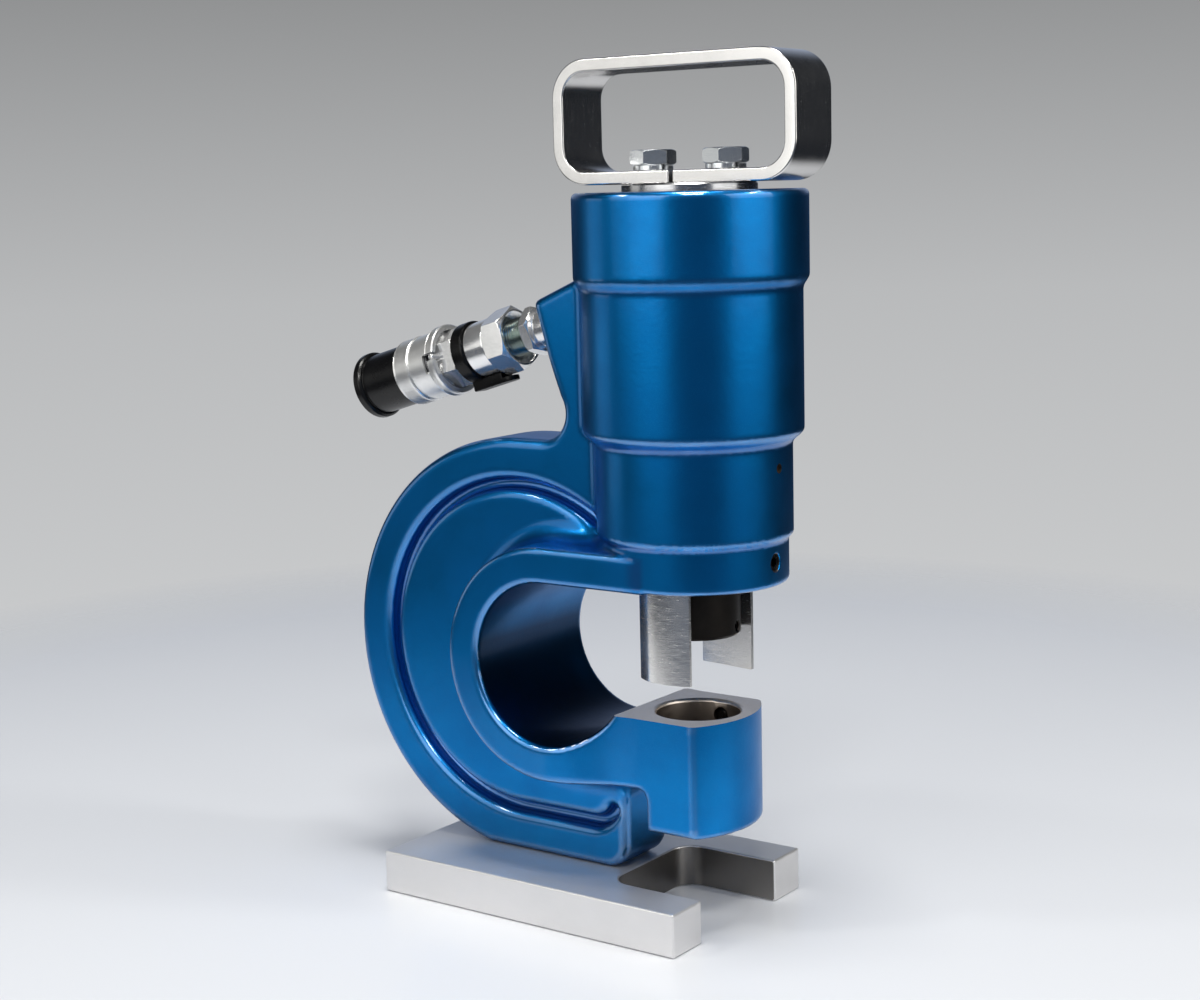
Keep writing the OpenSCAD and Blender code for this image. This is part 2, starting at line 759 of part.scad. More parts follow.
module sleeve_snap_ring() color("dimgray") on_coupler() difference() {
    ring(tube_r - snap_depth, land_r + snap_depth, snap_s, snap_s + snap_t - snap_play);
    translate([0, -snap_open / 2, snap_s - over]) cube([2 * land_r, snap_open, snap_t + 2 * over]);
}

// Rubber ring round the coupler, with a strap tail that lies under the body
tail_w = 9;
tail_t = 2.7;
tail_l = 18;
tail_root = 1.5;

module keeper_ring() color("black") on_coupler() {
    tail_r = coupler_af / 2 / cos(30) + seat_gap;
    ring(ring_seat_r, ring_r, barrel_s, ring_s);
    translate([-tail_r - tail_t, -tail_w / 2, barrel_s - tail_l]) cube([tail_t, tail_w, tail_l + ring_s - barrel_s]);
    translate([-tail_r - eps, -tail_w / 2, barrel_s]) cube([tail_r - ring_r + tail_root, tail_w, ring_s - barrel_s]);
}

module dust_cap() color("black") on_coupler() difference() {
    union() {
        rod(dust_cap_r, cap_s, cap_s + cap_body_l);
        rod(dust_cap_r + flange_rise, cap_s + cap_body_l - eps, cap_s + cap_body_l + cap_flange_t);
        rod(socket_r - run_gap, ball_s + ball_r + over, cap_s + eps);
    }
    rod(socket_r - cap_wall, ball_s, cap_s + cap_body_l / 2);
}

base_plate();
base_screws();
frame_casting();
end_cap();
end_cap_seal();
handle_strap();
handle_bolts();
handle_washers();
rod_bush();
rod_wiper();
stripper();
stripper_screw();
vent_filter();
die_screw();
ram();
piston();
piston_screw();
piston_seal();
piston_wear_band();
punch_screw();
return_spring();
inlet_nipple();
nipple_seal();
coupler_body();
coupler_poppet();
poppet_spring();
socket_seal();
locking_sleeve();
sleeve_spring();
lock_balls();
lock_pin();
sleeve_snap_ring();
keeper_ring();
dust_cap();
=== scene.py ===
"""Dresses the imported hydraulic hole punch: camera, studio, modelled pieces and finishes.

Shapes are modelled in millimetres. Most are drawn about the punch axis, and the
quick coupler's are drawn along its own axis, outward from the boss face. Each
finished mesh is moved into the part's frame, in metres.
"""

import logging
import math
from dataclasses import dataclass, field
from enum import Enum
from typing import Callable, Dict, List, Optional, Sequence, Tuple, Union

import bmesh
import bpy
import numpy as np
from mathutils import Matrix, Vector


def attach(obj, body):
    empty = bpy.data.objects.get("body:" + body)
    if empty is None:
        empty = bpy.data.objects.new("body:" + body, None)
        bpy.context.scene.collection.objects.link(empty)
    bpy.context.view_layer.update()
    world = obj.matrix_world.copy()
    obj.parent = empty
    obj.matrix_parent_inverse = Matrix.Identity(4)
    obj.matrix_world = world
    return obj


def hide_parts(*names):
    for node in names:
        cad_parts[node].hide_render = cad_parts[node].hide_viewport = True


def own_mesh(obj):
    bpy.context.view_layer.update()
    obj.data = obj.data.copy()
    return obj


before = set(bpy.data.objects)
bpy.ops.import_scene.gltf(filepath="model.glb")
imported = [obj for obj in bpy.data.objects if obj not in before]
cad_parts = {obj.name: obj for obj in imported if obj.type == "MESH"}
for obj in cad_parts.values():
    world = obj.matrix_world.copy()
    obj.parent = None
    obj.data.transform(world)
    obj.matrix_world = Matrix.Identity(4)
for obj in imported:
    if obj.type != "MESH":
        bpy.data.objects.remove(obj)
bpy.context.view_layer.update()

Colour = Tuple[float, float, float]
Point = Tuple[float, float]
Place = Tuple[float, float, float]
Array = np.ndarray

LOG = logging.getLogger("hole_punch")
MM = 0.001

# Places that more than one sub-assembly uses, in millimetres
AXIS_X = 66.4
BASE_T = 21.0
BASE_SCREWS_X = (-111.0, -83.0, -55.0)
DIE_SCREW_Z = 95.0
STRIPPER_SCREW_Z = 178.0
SPRING_SEAT_Z = 206.4
BOSS = (-77.0, 286.2)
TILT = math.radians(16.1)

# Turns that lay a shape drawn along Z on its side
ALONG_X = Matrix.Rotation(math.pi / 2, 4, "Y")
ALONG_Y = Matrix.Rotation(math.pi / 2, 4, "X")


def shift(x: float = 0.0, z: float = 0.0) -> Matrix:
    """A move along X and Z."""
    return Matrix.Translation((x, 0.0, z))


def turn_z(degrees: float) -> Matrix:
    """A turn about the Z axis."""
    return Matrix.Rotation(math.radians(degrees), 4, "Z")


ON_AXIS = shift(AXIS_X)
COUPLER_TURN = (0.0, math.pi / 2 + TILT, 0.0)
COUPLER_TURN_DOWN = Matrix.Rotation(-math.pi / 2 - TILT, 4, "Y")
COUPLER_PLACE_ON_AXIS = shift(*BOSS) @ COUPLER_TURN_DOWN
COUPLER_PLACE = ON_AXIS @ COUPLER_PLACE_ON_AXIS


class Body(Enum):
    """The bodies that the modelled pieces ride on."""

    FRAME = "frame"
    RAM = "ram"
    SLEEVE = "sleeve"
    DUST_CAP = "dust_cap"


class Cut(Enum):
    """The ways in which one solid shape acts on another."""

    JOIN = "UNION"
    REMOVE = "DIFFERENCE"
    KEEP = "INTERSECT"


class Value:
    """A number socket of a shader, whose arithmetic adds Math nodes."""

    def __init__(self, shader: "Shader", socket: bpy.types.NodeSocket) -> None:
        """Wraps one output socket of the shader."""
        self.shader = shader
        self.socket = socket

    def _math(self, operation: str, first: "Link", second: "Link" = 0.0) -> "Value":
        """Adds one Math node and returns its result."""
        return self.shader.node("ShaderNodeMath", {"operation": operation}, {0: first, 1: second})

    def __add__(self, other: "Link") -> "Value":
        """Adds a number or a socket."""
        return self._math("ADD", self, other)

    def __radd__(self, other: "Link") -> "Value":
        """Adds to a number."""
        return self._math("ADD", other, self)

    def __sub__(self, other: "Link") -> "Value":
        """Takes a number or a socket away."""
        return self._math("SUBTRACT", self, other)

    def __rsub__(self, other: "Link") -> "Value":
        """Takes the socket away from a number."""
        return self._math("SUBTRACT", other, self)

    def __mul__(self, other: "Link") -> "Value":
        """Multiplies by a number or a socket."""
        return self._math("MULTIPLY", self, other)

    def __rmul__(self, other: "Link") -> "Value":
        """Multiplies a number."""
        return self._math("MULTIPLY", other, self)

    def clamp(self) -> "Value":
        """Holds the value between 0 and 1."""
        return self._math("MAXIMUM", self._math("MINIMUM", self, 1.0), 0.0)


Link = Union[Value, float, Sequence[float]]


class Shader:
    """The node tree of a material or a world, with one method that makes any node."""

    def __init__(self, owner: Union[bpy.types.Material, bpy.types.World]) -> None:
        """Empties the owner's node tree.

        Args:
            owner: The material or world.
        """
        self.owner = owner
        owner.use_nodes = True
        self.tree = owner.node_tree
        self.tree.nodes.clear()

    def node(self, kind: str, settings: Optional[Dict] = None, sockets: Optional[Dict] = None,
             out: Union[int, str] = 0) -> Value:
        """Makes a node.

        Args:
            kind: The node's type.
            settings: Its settings, such as a Math node's operation.
            sockets: The values or links of its inputs.
            out: The output that is returned.

        Returns:
            The chosen output, or an input of a node that has no outputs.
        """
        made = self.tree.nodes.new(kind)
        for name, value in (settings or {}).items():
            setattr(made, name, value)
        for key, value in (sockets or {}).items():
            if isinstance(value, Value):
                self.tree.links.new(value.socket, made.inputs[key])
            else:
                made.inputs[key].default_value = value
        return Value(self, (made.outputs or made.inputs)[out])

    def place(self, scale: Place = (1.0, 1.0, 1.0), turn: Place = (0.0, 0.0, 0.0)) -> Value:
        """The object's coordinates, turned and then stretched.

        Args:
            scale: The stretch along each direction.
            turn: The turn about each direction, in radians.

        Returns:
            The coordinates.
        """
        spot = self.node("ShaderNodeTexCoord", out="Object")
        return self.node("ShaderNodeMapping", {},
                         {"Vector": spot, "Rotation": turn, "Scale": scale})

    def noise(self, place: Value, scale: float, detail: float = 3.0, rough: float = 0.55) -> Value:
        """Cloudy noise from 0 to 1."""
        return self.node("ShaderNodeTexNoise", {},
                         {"Vector": place, "Scale": scale, "Detail": detail, "Roughness": rough})

    def level(self, value: Value, low: float, high: float,
              to_low: float = 0.0, to_high: float = 1.0) -> Value:
        """Maps a range of values onto another one, clamped."""
        return self.node("ShaderNodeMapRange", {"clamp": True},
                         {0: value, 1: low, 2: high, 3: to_low, 4: to_high})

    def blend(self, share: Link, first: Link, second: Link) -> Value:
        """Mixes two colours."""
        return self.node("ShaderNodeMix", {"data_type": "RGBA"},
                         {0: share, 6: first, 7: second}, out=2)

    def bump(self, height: Value, depth: float, strength: float = 1.0) -> Value:
        """A normal from a height that runs from 0 to 1, for a depth in millimetres."""
        return self.node("ShaderNodeBump", {},
                         {"Strength": strength, "Distance": depth * MM, "Height": height})

    def attribute(self, name: str) -> Value:
        """A number that the mesh holds at each of its points."""
        return self.node("ShaderNodeAttribute", {"attribute_name": name}, out="Fac")

    def surface(self, sockets: Dict) -> bpy.types.Material:
        """Ends the tree with a Principled shader and returns the material.

        Args:
            sockets: The values and links of the shader's inputs.

        Returns:
            The material.
        """
        shade = self.node("ShaderNodeBsdfPrincipled", {}, sockets)
        self.node("ShaderNodeOutputMaterial", {}, {"Surface": shade})
        return self.owner


def solid(colour: Colour) -> Tuple[float, float, float, float]:
    """A colour with full alpha."""
    return (*colour, 1.0)


@dataclass(frozen=True)
class Finish:
    """A finish whose material is made once and then shared."""

    name: str
    colour: Colour
    roughness: float

    def sockets(self, shader: Shader) -> Dict:
        """The values and links of the Principled shader."""
        return {"Base Color": solid(self.colour), "Roughness": self.roughness}

    def material(self) -> bpy.types.Material:
        """The finish as a material.

        Returns:
            The material, which is made at the first call.
        """
        known = bpy.data.materials.get(self.name)
        if known is not None:
            return known
        shader = Shader(bpy.data.materials.new(self.name))
        return shader.surface(self.sockets(shader))


@dataclass(frozen=True)
class CastPaint(Finish):
    """Metallic blue paint over a casting, with flake and orange peel, paler outer edges as a painted
    highlight, and painted shade in hollows, on the throat's wall and near the plate.
    """

    # Deep for random cloudy patches, and as painted shade in hollows
    deep: Colour = (0.002, 0.065, 0.30)
    # Pale for the flake, and as a painted highlight on outer edges
    pale: Colour = (0.02, 0.30, 0.66)
    # Near black, as painted shade on the throat's wall and near the plate
    shade: Colour = (0.001, 0.008, 0.03)
    cloud_share: float = 0.35
    flake_share: float = 0.30
    edge_highlight_share: float = 0.10
    hollow_shade_share: float = 0.5
    shade_share: float = 0.85
    edge_coat: float = 0.75
    hollow_coat: float = 0.50
    all_coat: float = 0.03
    peel_depth: float = 0.18

    def sockets(self, shader: Shader) -> Dict:
        """Flake, cloud, the painted highlight and the painted shade in the colour, peel in the normal,
        and glossier edges and hollows.

        Args:
            shader: The material's node tree.

        Returns:
            The values and links.
        """
        spot = shader.place()
        cloud = shader.noise(spot, 34.0, 4.0)
        flake = shader.level(shader.noise(spot, 2600.0, 1.0), 0.5, 0.75)
        peel = shader.noise(spot, 520.0, 2.0, 0.5)
        lumps = shader.noise(spot, 110.0, 2.0, 0.4)
        edge = shader.attribute("edge")
        hollow = shader.attribute("hollow")
        inside = shader.attribute("inside")
        patches = shader.level(cloud, 0.25, 0.75, 0.0, self.cloud_share)
        colour = shader.blend(patches, solid(self.colour), solid(self.deep))
        # Flake tints towards pale at random; the pale outer edges are a painted highlight, the deep
        # hollows and the near-black inside places are painted shade
        layers = ((flake, self.flake_share, self.pale), (edge, self.edge_highlight_share, self.pale),
                  (hollow, self.hollow_shade_share, self.deep), (inside, self.shade_share, self.shade))
        for mask, share, tint in layers:
            colour = shader.blend(mask * share, colour, solid(tint))
        height = peel * 0.4 + lumps * 0.6
        rough = shader.level(cloud, 0.2, 0.8, self.roughness - 0.05, self.roughness + 0.06)
        coat = edge * self.edge_coat + hollow * self.hollow_coat + self.all_coat
        return {"Base Color": colour, "Metallic": 1.0, "Roughness": rough,
                "Coat Weight": coat.clamp(), "Coat Roughness": 0.09, "Coat IOR": 2.2,
                "Normal": shader.bump(height, self.peel_depth, 0.5)}


@dataclass(frozen=True)
class Metal(Finish):
    """A bare or plated metal with the marks of its making.

    The streaks are noise that the scale stretches, so a large number gives close
    lines across that direction.
    """

    streaks: Place = (60.0, 60.0, 60.0)
    turn: Place = (0.0, 0.0, 0.0)
    streak_share: float = 0.12
    streak_depth: float = 0.01
    stain: Colour = (0.30, 0.30, 0.31)
    stain_share: float = 0.25
    stain_scale: float = 45.0
    sparkle: float = 0.0
    metallic: float = 1.0

    def sockets(self, shader: Shader) -> Dict:
        """Streaks in the roughness and normal, and stains in the colour.

        Args:
            shader: The material's node tree.

        Returns:
            The values and links.
        """
        spot = shader.place()
        lines = shader.noise(shader.place(self.streaks, self.turn), 25.0, 5.0, 0.65)
        cloud = shader.noise(spot, self.stain_scale, 5.0)
        grit = shader.noise(spot, 1900.0, 1.0)
        stains = shader.level(cloud, 0.42, 0.72, 0.0, self.stain_share)
        colour = shader.blend(stains, solid(self.colour), solid(self.stain))
        rough = shader.level(lines, 0.25, 0.75, self.roughness - self.streak_share,
                             self.roughness + self.streak_share)
        rough = rough + (grit - 0.5) * self.sparkle
        height = lines * 0.7 + grit * 0.3
        return {"Base Color": colour, "Metallic": self.metallic, "Roughness": rough.clamp(),
                "Normal": shader.bump(height, self.streak_depth, 0.6)}


@dataclass(frozen=True)
class Polymer(Finish):
    """Rubber or plastic with a fine moulded grain."""

    grain_scale: float = 1500.0
    grain_depth: float = 0.02
    dust: Colour = (0.05, 0.05, 0.052)
    coat: float = 0.0
    specular: float = 0.3

    def sockets(self, shader: Shader) -> Dict:
        """Grain in the normal and a little dust in the colour.

        Args:
            shader: The material's node tree.

        Returns:
            The values and links.
        """
        spot = shader.place()
        grain = shader.noise(spot, self.grain_scale, 2.0)
        cloud = shader.noise(spot, 70.0, 4.0)
        patches = shader.level(cloud, 0.45, 0.75, 0.0, 0.45)
        colour = shader.blend(patches, solid(self.colour), solid(self.dust))
        rough = shader.level(cloud, 0.2, 0.8, self.roughness - 0.06, self.roughness + 0.08)
        return {"Base Color": colour, "Metallic": 0.0, "Roughness": rough,
                "Coat Weight": self.coat, "Coat Roughness": 0.12,
                "Specular IOR Level": self.specular,
                "Normal": shader.bump(grain, self.grain_depth, 0.5)}


ALONG_COUPLER = {"turn": COUPLER_TURN, "streak_share": 0.06, "streak_depth": 0.006}

PAINT = CastPaint("cast_blue_paint", (0.003, 0.215, 0.59), 0.34)
PLATE_STEEL = Metal("ground_plate_steel", (0.80, 0.79, 0.79), 0.45, (9.0, 60.0, 60.0),
                    streak_share=0.06, stain=(0.70, 0.70, 0.70), sparkle=0.06, metallic=0.83)
# Milled steel for the notch's walls, made darker as painted shade
MILLED_AND_SHADED_STEEL = Metal("milled_notch_steel_and_painted_shade", (0.22, 0.21, 0.20), 0.34, (40.0, 40.0, 8.0),
                     streak_share=0.08, stain=(0.15, 0.14, 0.13))
FACED_STEEL = Metal("faced_jaw_steel", (0.97, 0.87, 0.77), 0.40, (30.0, 8.0, 30.0),
                    stain=(0.80, 0.71, 0.63))
BORE_STEEL = Metal("oiled_bore_steel", (0.26, 0.22, 0.19), 0.42, (8.0, 8.0, 60.0),
                   stain=(0.13, 0.11, 0.095))
BRIGHT_STEEL = Metal("brushed_handle_steel", (0.80, 0.79, 0.78), 0.22, (4.0, 90.0, 4.0),
                     streak_share=0.06, stain=(0.58, 0.57, 0.56), sparkle=0.10)
TURNED_STEEL = Metal("turned_stripper_steel", (0.97, 0.96, 0.95), 0.20, (8.0, 8.0, 90.0),
                     streak_share=0.11, stain=(0.74, 0.73, 0.72), metallic=0.93)
CAP_STEEL = Metal("turned_cap_steel", (0.56, 0.56, 0.57), 0.22, (8.0, 8.0, 70.0))
ZINC = Metal("zinc_plate", (0.76, 0.79, 0.82), 0.24, (30.0, 30.0, 30.0), streak_share=0.015,
             streak_depth=0.003, stain=(0.66, 0.70, 0.74), stain_scale=160.0, metallic=0.94)
PLATED = Metal("plated_coupler_steel", (0.92, 0.92, 0.92), 0.18, (8.0, 8.0, 80.0),
               stain=(0.56, 0.57, 0.58), stain_scale=90.0, metallic=0.84, **ALONG_COUPLER)
THREAD = Metal("plated_thread", (0.42, 0.47, 0.45), 0.22, (8.0, 8.0, 80.0),
               stain=(0.16, 0.24, 0.22), stain_share=0.5, stain_scale=160.0, **ALONG_COUPLER)
KNURLED = Metal("knurled_sleeve_steel", (0.90, 0.90, 0.89), 0.33, (8.0, 8.0, 60.0),
                stain=(0.58, 0.58, 0.58), stain_share=0.3, stain_scale=120.0, metallic=0.85,
                **ALONG_COUPLER)
BLACK_STEEL = Metal("blackened_steel", (0.026, 0.023, 0.021), 0.38, (8.0, 8.0, 60.0),
                    streak_share=0.08, stain=(0.055, 0.048, 0.042), stain_share=0.5)
SPRING_STEEL = Metal("oiled_spring_steel", (0.20, 0.20, 0.21), 0.30)
FILTER = Metal("oily_filter", (0.07, 0.05, 0.035), 0.55, stain=(0.03, 0.025, 0.02), sparkle=0.15)
BRONZE = Metal("sintered_bronze", (0.48, 0.29, 0.11), 0.34, stain=(0.32, 0.19, 0.08),
               sparkle=0.15)
RUBBER = Polymer("keeper_rubber", (0.004, 0.004, 0.004), 0.26, 1200.0, 0.012,
                 dust=(0.010, 0.009, 0.009), specular=0.22)
CAP_PLASTIC = Polymer("moulded_cap_plastic", (0.004, 0.004, 0.0045), 0.28, 900.0, 0.012,
                      dust=(0.010, 0.010, 0.010), coat=0.10)
SEAL_RUBBER = Polymer("seal_rubber", (0.014, 0.014, 0.015), 0.55, 1600.0, 0.03)
RESIN = Polymer("wear_band_resin", (0.20, 0.09, 0.035), 0.5, 700.0, 0.03,
                dust=(0.26, 0.14, 0.06))


class Shape:
    """A closed mesh being modelled, in millimetres."""

    def __init__(self) -> None:
        """Starts empty."""
        self.bm = bmesh.new()
        self.tip: Optional[bmesh.types.BMFace] = None
        self.grown = False

    @classmethod
    def turned(cls, profile: Sequence[Point], steps: int = 96) -> "Shape":
        """Spins a profile about the Z axis.

        Args:
            profile: Radius and height pairs. A closed ring repeats its first point.
            steps: The number of steps round the axis.

        Returns:
            The turned solid.
        """
        shape = cls()
        verts = [shape.bm.verts.new((r, 0.0, z)) for r, z in profile]
        edges = [shape.bm.edges.new(pair) for pair in zip(verts, verts[1:])]
        bmesh.ops.spin(shape.bm, geom=verts + edges, cent=(0, 0, 0), axis=(0, 0, 1),
                       angle=2 * math.pi, steps=steps, use_merge=True, use_duplicate=False)
        return shape.closed()

    @classmethod
    def tube(cls, inner: float, outer: float, low: float, high: float) -> "Shape":
        """A turned ring with a square section."""
        return cls.turned([(inner, low), (outer, low), (outer, high), (inner, high), (inner, low)])

    @classmethod
    def rod(cls, radius: float, low: float, high: float, steps: int = 64) -> "Shape":
        """A solid round bar along Z."""
        return cls.turned([(0.0, low), (radius, low), (radius, high), (0.0, high)], steps)

    @classmethod
    def slab(cls, low: Place, high: Place) -> "Shape":
        """A block between two corners.

        Args:
            low: The lowest corner.
            high: The highest corner.

        Returns:
            The block.
        """
        shape = cls()
        bmesh.ops.create_cube(shape.bm, size=1.0)
        size = Vector(high) - Vector(low)
        middle = (Vector(high) + Vector(low)) / 2
        shape.move(Matrix.Translation(middle) @ Matrix.Diagonal((*size, 1.0)))
        return shape

    @classmethod
    def prism(cls, outline: Sequence[Point], low: float, high: float) -> "Shape":
        """An outline in X and Y raised along Z.

        Args:
            outline: The corners, in order.
            low: The height of the lower face.
            high: The height of the upper face.

        Returns:
            The prism.
        """
        shape = cls()
        face = shape.bm.faces.new([shape.bm.verts.new((x, y, low)) for x, y in outline])
        raised = bmesh.ops.extrude_face_region(shape.bm, geom=[face])["geom"]
        verts = [item for item in raised if isinstance(item, bmesh.types.BMVert)]
        bmesh.ops.translate(shape.bm, verts=verts, vec=(0.0, 0.0, high - low))
        return shape.closed()

    @classmethod
    def side_plate(cls, outline: Sequence[Point], half_w: float) -> "Shape":
        """An outline in X and Z given an even width along Y."""
        return cls.prism(outline, -half_w, half_w).move(ALONG_Y)

    @classmethod
    def wheel(cls, middle: Point, radius: float, half_w: float, steps: int = 96) -> "Shape":
        """A disc in X and Z given an even width along Y."""
        return cls.rod(radius, -half_w, half_w, steps).move(shift(*middle) @ ALONG_Y)

    @classmethod
    def hex_bar(cls, across: float, low: float, high: float, turn: float = 0.0,
                fall: float = 0.58) -> "Shape":
        """A hexagon bar whose corners are turned down at both ends.

        Args:
            across: The width across the flats.
            low: The lower end.
            high: The upper end.
            turn: The turn about Z in degrees.
            fall: The height of the chamfer for each unit of its width.

        Returns:
            The chamfered bar.
        """
        corner = across / 2 / math.cos(math.pi / 6)
        shape = cls()
        bmesh.ops.create_cone(shape.bm, cap_ends=True, segments=6, radius1=corner, radius2=corner,
                              depth=high - low)
        shape.move(shift(z=(low + high) / 2) @ turn_z(turn + 30))
        inner, outer = across / 2 - 0.25, corner + 0.02
        drop = (corner - inner) * fall
        turned_down = cls.turned([(0, low), (inner, low), (outer, low + drop), (outer, high - drop),
                                  (inner, high), (0, high)])
        return shape.act(turned_down, Cut.KEEP)

    @classmethod
    def coil(cls, mean: float, wire: float, low: float, high: float, turns: float) -> "Shape":
        """A round wire wound between two heights.

        Args:
            mean: The radius of the wire's middle.
            wire: The wire's diameter.
            low: The lower end.
            high: The upper end.
            turns: The number of turns.

        Returns:
            The coil.
        """
        shape = cls()
        bmesh.ops.create_circle(shape.bm, cap_ends=True, segments=12, radius=wire / 2)
        shape.move(shift(mean, low + wire / 2) @ ALONG_Y)
        per_turn = 40
        steps = round(turns * per_turn)
        rise = (high - low - wire) / steps
        bmesh.ops.spin(shape.bm, geom=shape.bm.faces[:], cent=(0, 0, 0), axis=(0, 0, 1),
                       dvec=(0, 0, rise), angle=2 * math.pi * turns, steps=steps,
                       use_duplicate=False)
        return shape.closed()

    def begin(self, corners: Sequence[Place]) -> "Shape":
        """Starts a bar from the face at its first end."""
        self.tip = self.bm.faces.new([self.bm.verts.new(corner) for corner in corners])
        return self

    def run(self, step: Place) -> "Shape":
        """Lengthens the bar in a straight line."""
        return self._spin(0.0, (0, 0, 0), 1, step)

    def sweep(self, angle: float, middle: Place, steps: int = 16) -> "Shape":
        """Lengthens the bar round a bend about the Y direction."""
        return self._spin(angle, middle, steps, (0, 0, 0), (0, 1, 0))

    def wind(self, angle: float, steps: int, rise: float) -> "Shape":
        """Lengthens the bar round the Z axis, rising with each step."""
        return self._spin(angle, (0, 0, 0), steps, (0, 0, rise))

    def _spin(self, angle: float, middle: Place, steps: int, rise: Place,
              axis: Place = (0, 0, 1)) -> "Shape":
        """Spins the bar's last face, keeps the new one and leaves none inside the bar.

        Args:
            angle: The turn, in radians.
            middle: A point on the axis of the turn.
            steps: The number of steps.
            rise: The move that goes with each step.
            axis: The direction of the axis.

        Returns:
            The same shape.
        """
        start = self.tip
        last = bmesh.ops.spin(self.bm, geom=[start], cent=middle, axis=axis, dvec=rise,
                              angle=angle, steps=steps, use_duplicate=False)["geom_last"]
        self.tip = next(item for item in last if isinstance(item, bmesh.types.BMFace))
        if self.grown:
            bmesh.ops.delete(self.bm, geom=[start], context="FACES_ONLY")
        self.grown = True
        return self

    def closed(self) -> "Shape":
        """Merges doubles, fills what is open and turns the faces outwards.

        Returns:
            The same shape.
        """
        bmesh.ops.remove_doubles(self.bm, verts=self.bm.verts[:], dist=1e-4)
        open_edges = [edge for edge in self.bm.edges if edge.is_boundary]
        if open_edges:
            bmesh.ops.holes_fill(self.bm, edges=open_edges, sides=0)
        bmesh.ops.recalc_face_normals(self.bm, faces=self.bm.faces[:])
        return self

    def move(self, matrix: Matrix) -> "Shape":
        """Applies a transform to every point."""
        bmesh.ops.transform(self.bm, matrix=matrix, verts=self.bm.verts[:])
        return self

    def round_edges(self, width: float, segments: int = 2, angle: float = 35.0,
                    where: Optional[Callable[[Vector], bool]] = None) -> "Shape":
        """Rounds the edges that turn by more than an angle.

        Args:
            width: The width of the rounding.
            segments: The number of steps across it.
            angle: The least turn, in degrees, of an edge that is rounded.
            where: A test of an edge's middle, or None for every edge.

        Returns:
            The same shape.
        """
        least = math.radians(angle)
        edges = [edge for edge in self.bm.edges
                 if len(edge.link_faces) == 2 and edge.calc_face_angle() > least
                 and (where is None or where((edge.verts[0].co + edge.verts[1].co) / 2))]
        bmesh.ops.bevel(self.bm, geom=edges, offset=width, offset_type="OFFSET", segments=segments,
                        profile=0.5, affect="EDGES", clamp_overlap=True, material=-1)
        return self

    def as_object(self, name: str) -> bpy.types.Object:
        """Links the shape as a working object.

        Args:
            name: The object's name.

        Returns:
            The object.
        """
        mesh = bpy.data.meshes.new(name)
        self.bm.to_mesh(mesh)
        made = bpy.data.objects.new(name, mesh)
        bpy.context.scene.collection.objects.link(made)
        return made

    def take(self, mesh: bpy.types.Mesh) -> None:
        """Takes a mesh as the shape and removes it from the file.

        Args:
            mesh: The mesh.
        """
        self.bm.free()
        self.bm = bmesh.new()
        self.bm.from_mesh(mesh)
        bpy.data.meshes.remove(mesh)

    def _apply(self, made: bpy.types.Object) -> None:
        """Takes the object's evaluated mesh as the shape and removes the object.

        Args:
            made: The working object, with its modifier.
        """
        graph = bpy.context.evaluated_depsgraph_get()
        mesh = bpy.data.meshes.new_from_object(made.evaluated_get(graph), depsgraph=graph)
        bpy.data.objects.remove(made)
        self.take(mesh)

    def act(self, other: "Shape", way: Cut) -> "Shape":
        """Joins, removes or keeps what another shape covers.

        Args:
            other: The other shape.
            way: What it does to this one.

        Returns:
            The same shape.
        """
        mine = self.as_object("work")
        tool = other.as_object("tool")
        step = mine.modifiers.new("act", "BOOLEAN")
        step.operation = way.value
        step.solver = "MANIFOLD"
        step.object = tool
        self._apply(mine)
        bpy.data.objects.remove(tool)
        return self

    def remesh(self, voxel: float) -> "Shape":
        """Replaces the mesh with an even one of small squares.

        Args:
            voxel: The size of the squares.

        Returns:
            The same shape.
        """
        mine = self.as_object("work")
        step = mine.modifiers.new("remesh", "REMESH")
        step.mode = "VOXEL"
        step.voxel_size = voxel
        self._apply(mine)
        return self

    def add(self, other: "Shape") -> "Shape":
        """Puts another shape beside this one in the same mesh.

        Args:
            other: The other shape.

        Returns:
            The same shape.
        """
        mesh = bpy.data.meshes.new("added")
        other.bm.to_mesh(mesh)
        self.bm.from_mesh(mesh)
        bpy.data.meshes.remove(mesh)
        return self


def piece(name: str, shape: Shape, body: Body, finishes: Sequence[Finish], node: str,
          place: Matrix = ON_AXIS, sharp: float = 38.0) -> bpy.types.Object:
    """Turns a shape into a finished piece that stands for a CAD node.

    Args:
        name: The piece's name.
        shape: Its shape in millimetres.
        body: The body that it rides on.
        finishes: Its finishes, in the order of its faces' material numbers.
        node: The CAD node that it replaces.
        place: The transform from the shape's frame to the part's.
        sharp: The least turn of an edge that shows as sharp, in degrees.

    Returns:
        The object.
    """
    shape.move(Matrix.Scale(MM, 4) @ place)
    mesh = bpy.data.meshes.new(name)
    shape.bm.to_mesh(mesh)
    shape.bm.free()
    mesh.shade_smooth()
    mesh.set_sharp_from_angle(angle=math.radians(sharp))
    for finish in finishes:
        mesh.materials.append(finish.material())
    made = bpy.data.objects.new(name, mesh)
    bpy.context.scene.collection.objects.link(made)
    even = made.modifiers.new("even_normals", "WEIGHTED_NORMAL")
    even.keep_sharp = True
    even.weight = 60
    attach(made, body.value)
    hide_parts(node)
    LOG.info("%s: %d faces on %s", name, len(mesh.polygons), body.value)
    return made


# Distances, positive outside, for the soft forms of the casting


def round_join(first: Array, second: Array, radius: Union[float, Array]) -> Array:
    """The union of two distances, with a fillet in the inner corner."""
    corner = np.hypot(np.maximum(radius - first, 0.0), np.maximum(radius - second, 0.0))
    return np.maximum(radius, np.minimum(first, second)) - corner


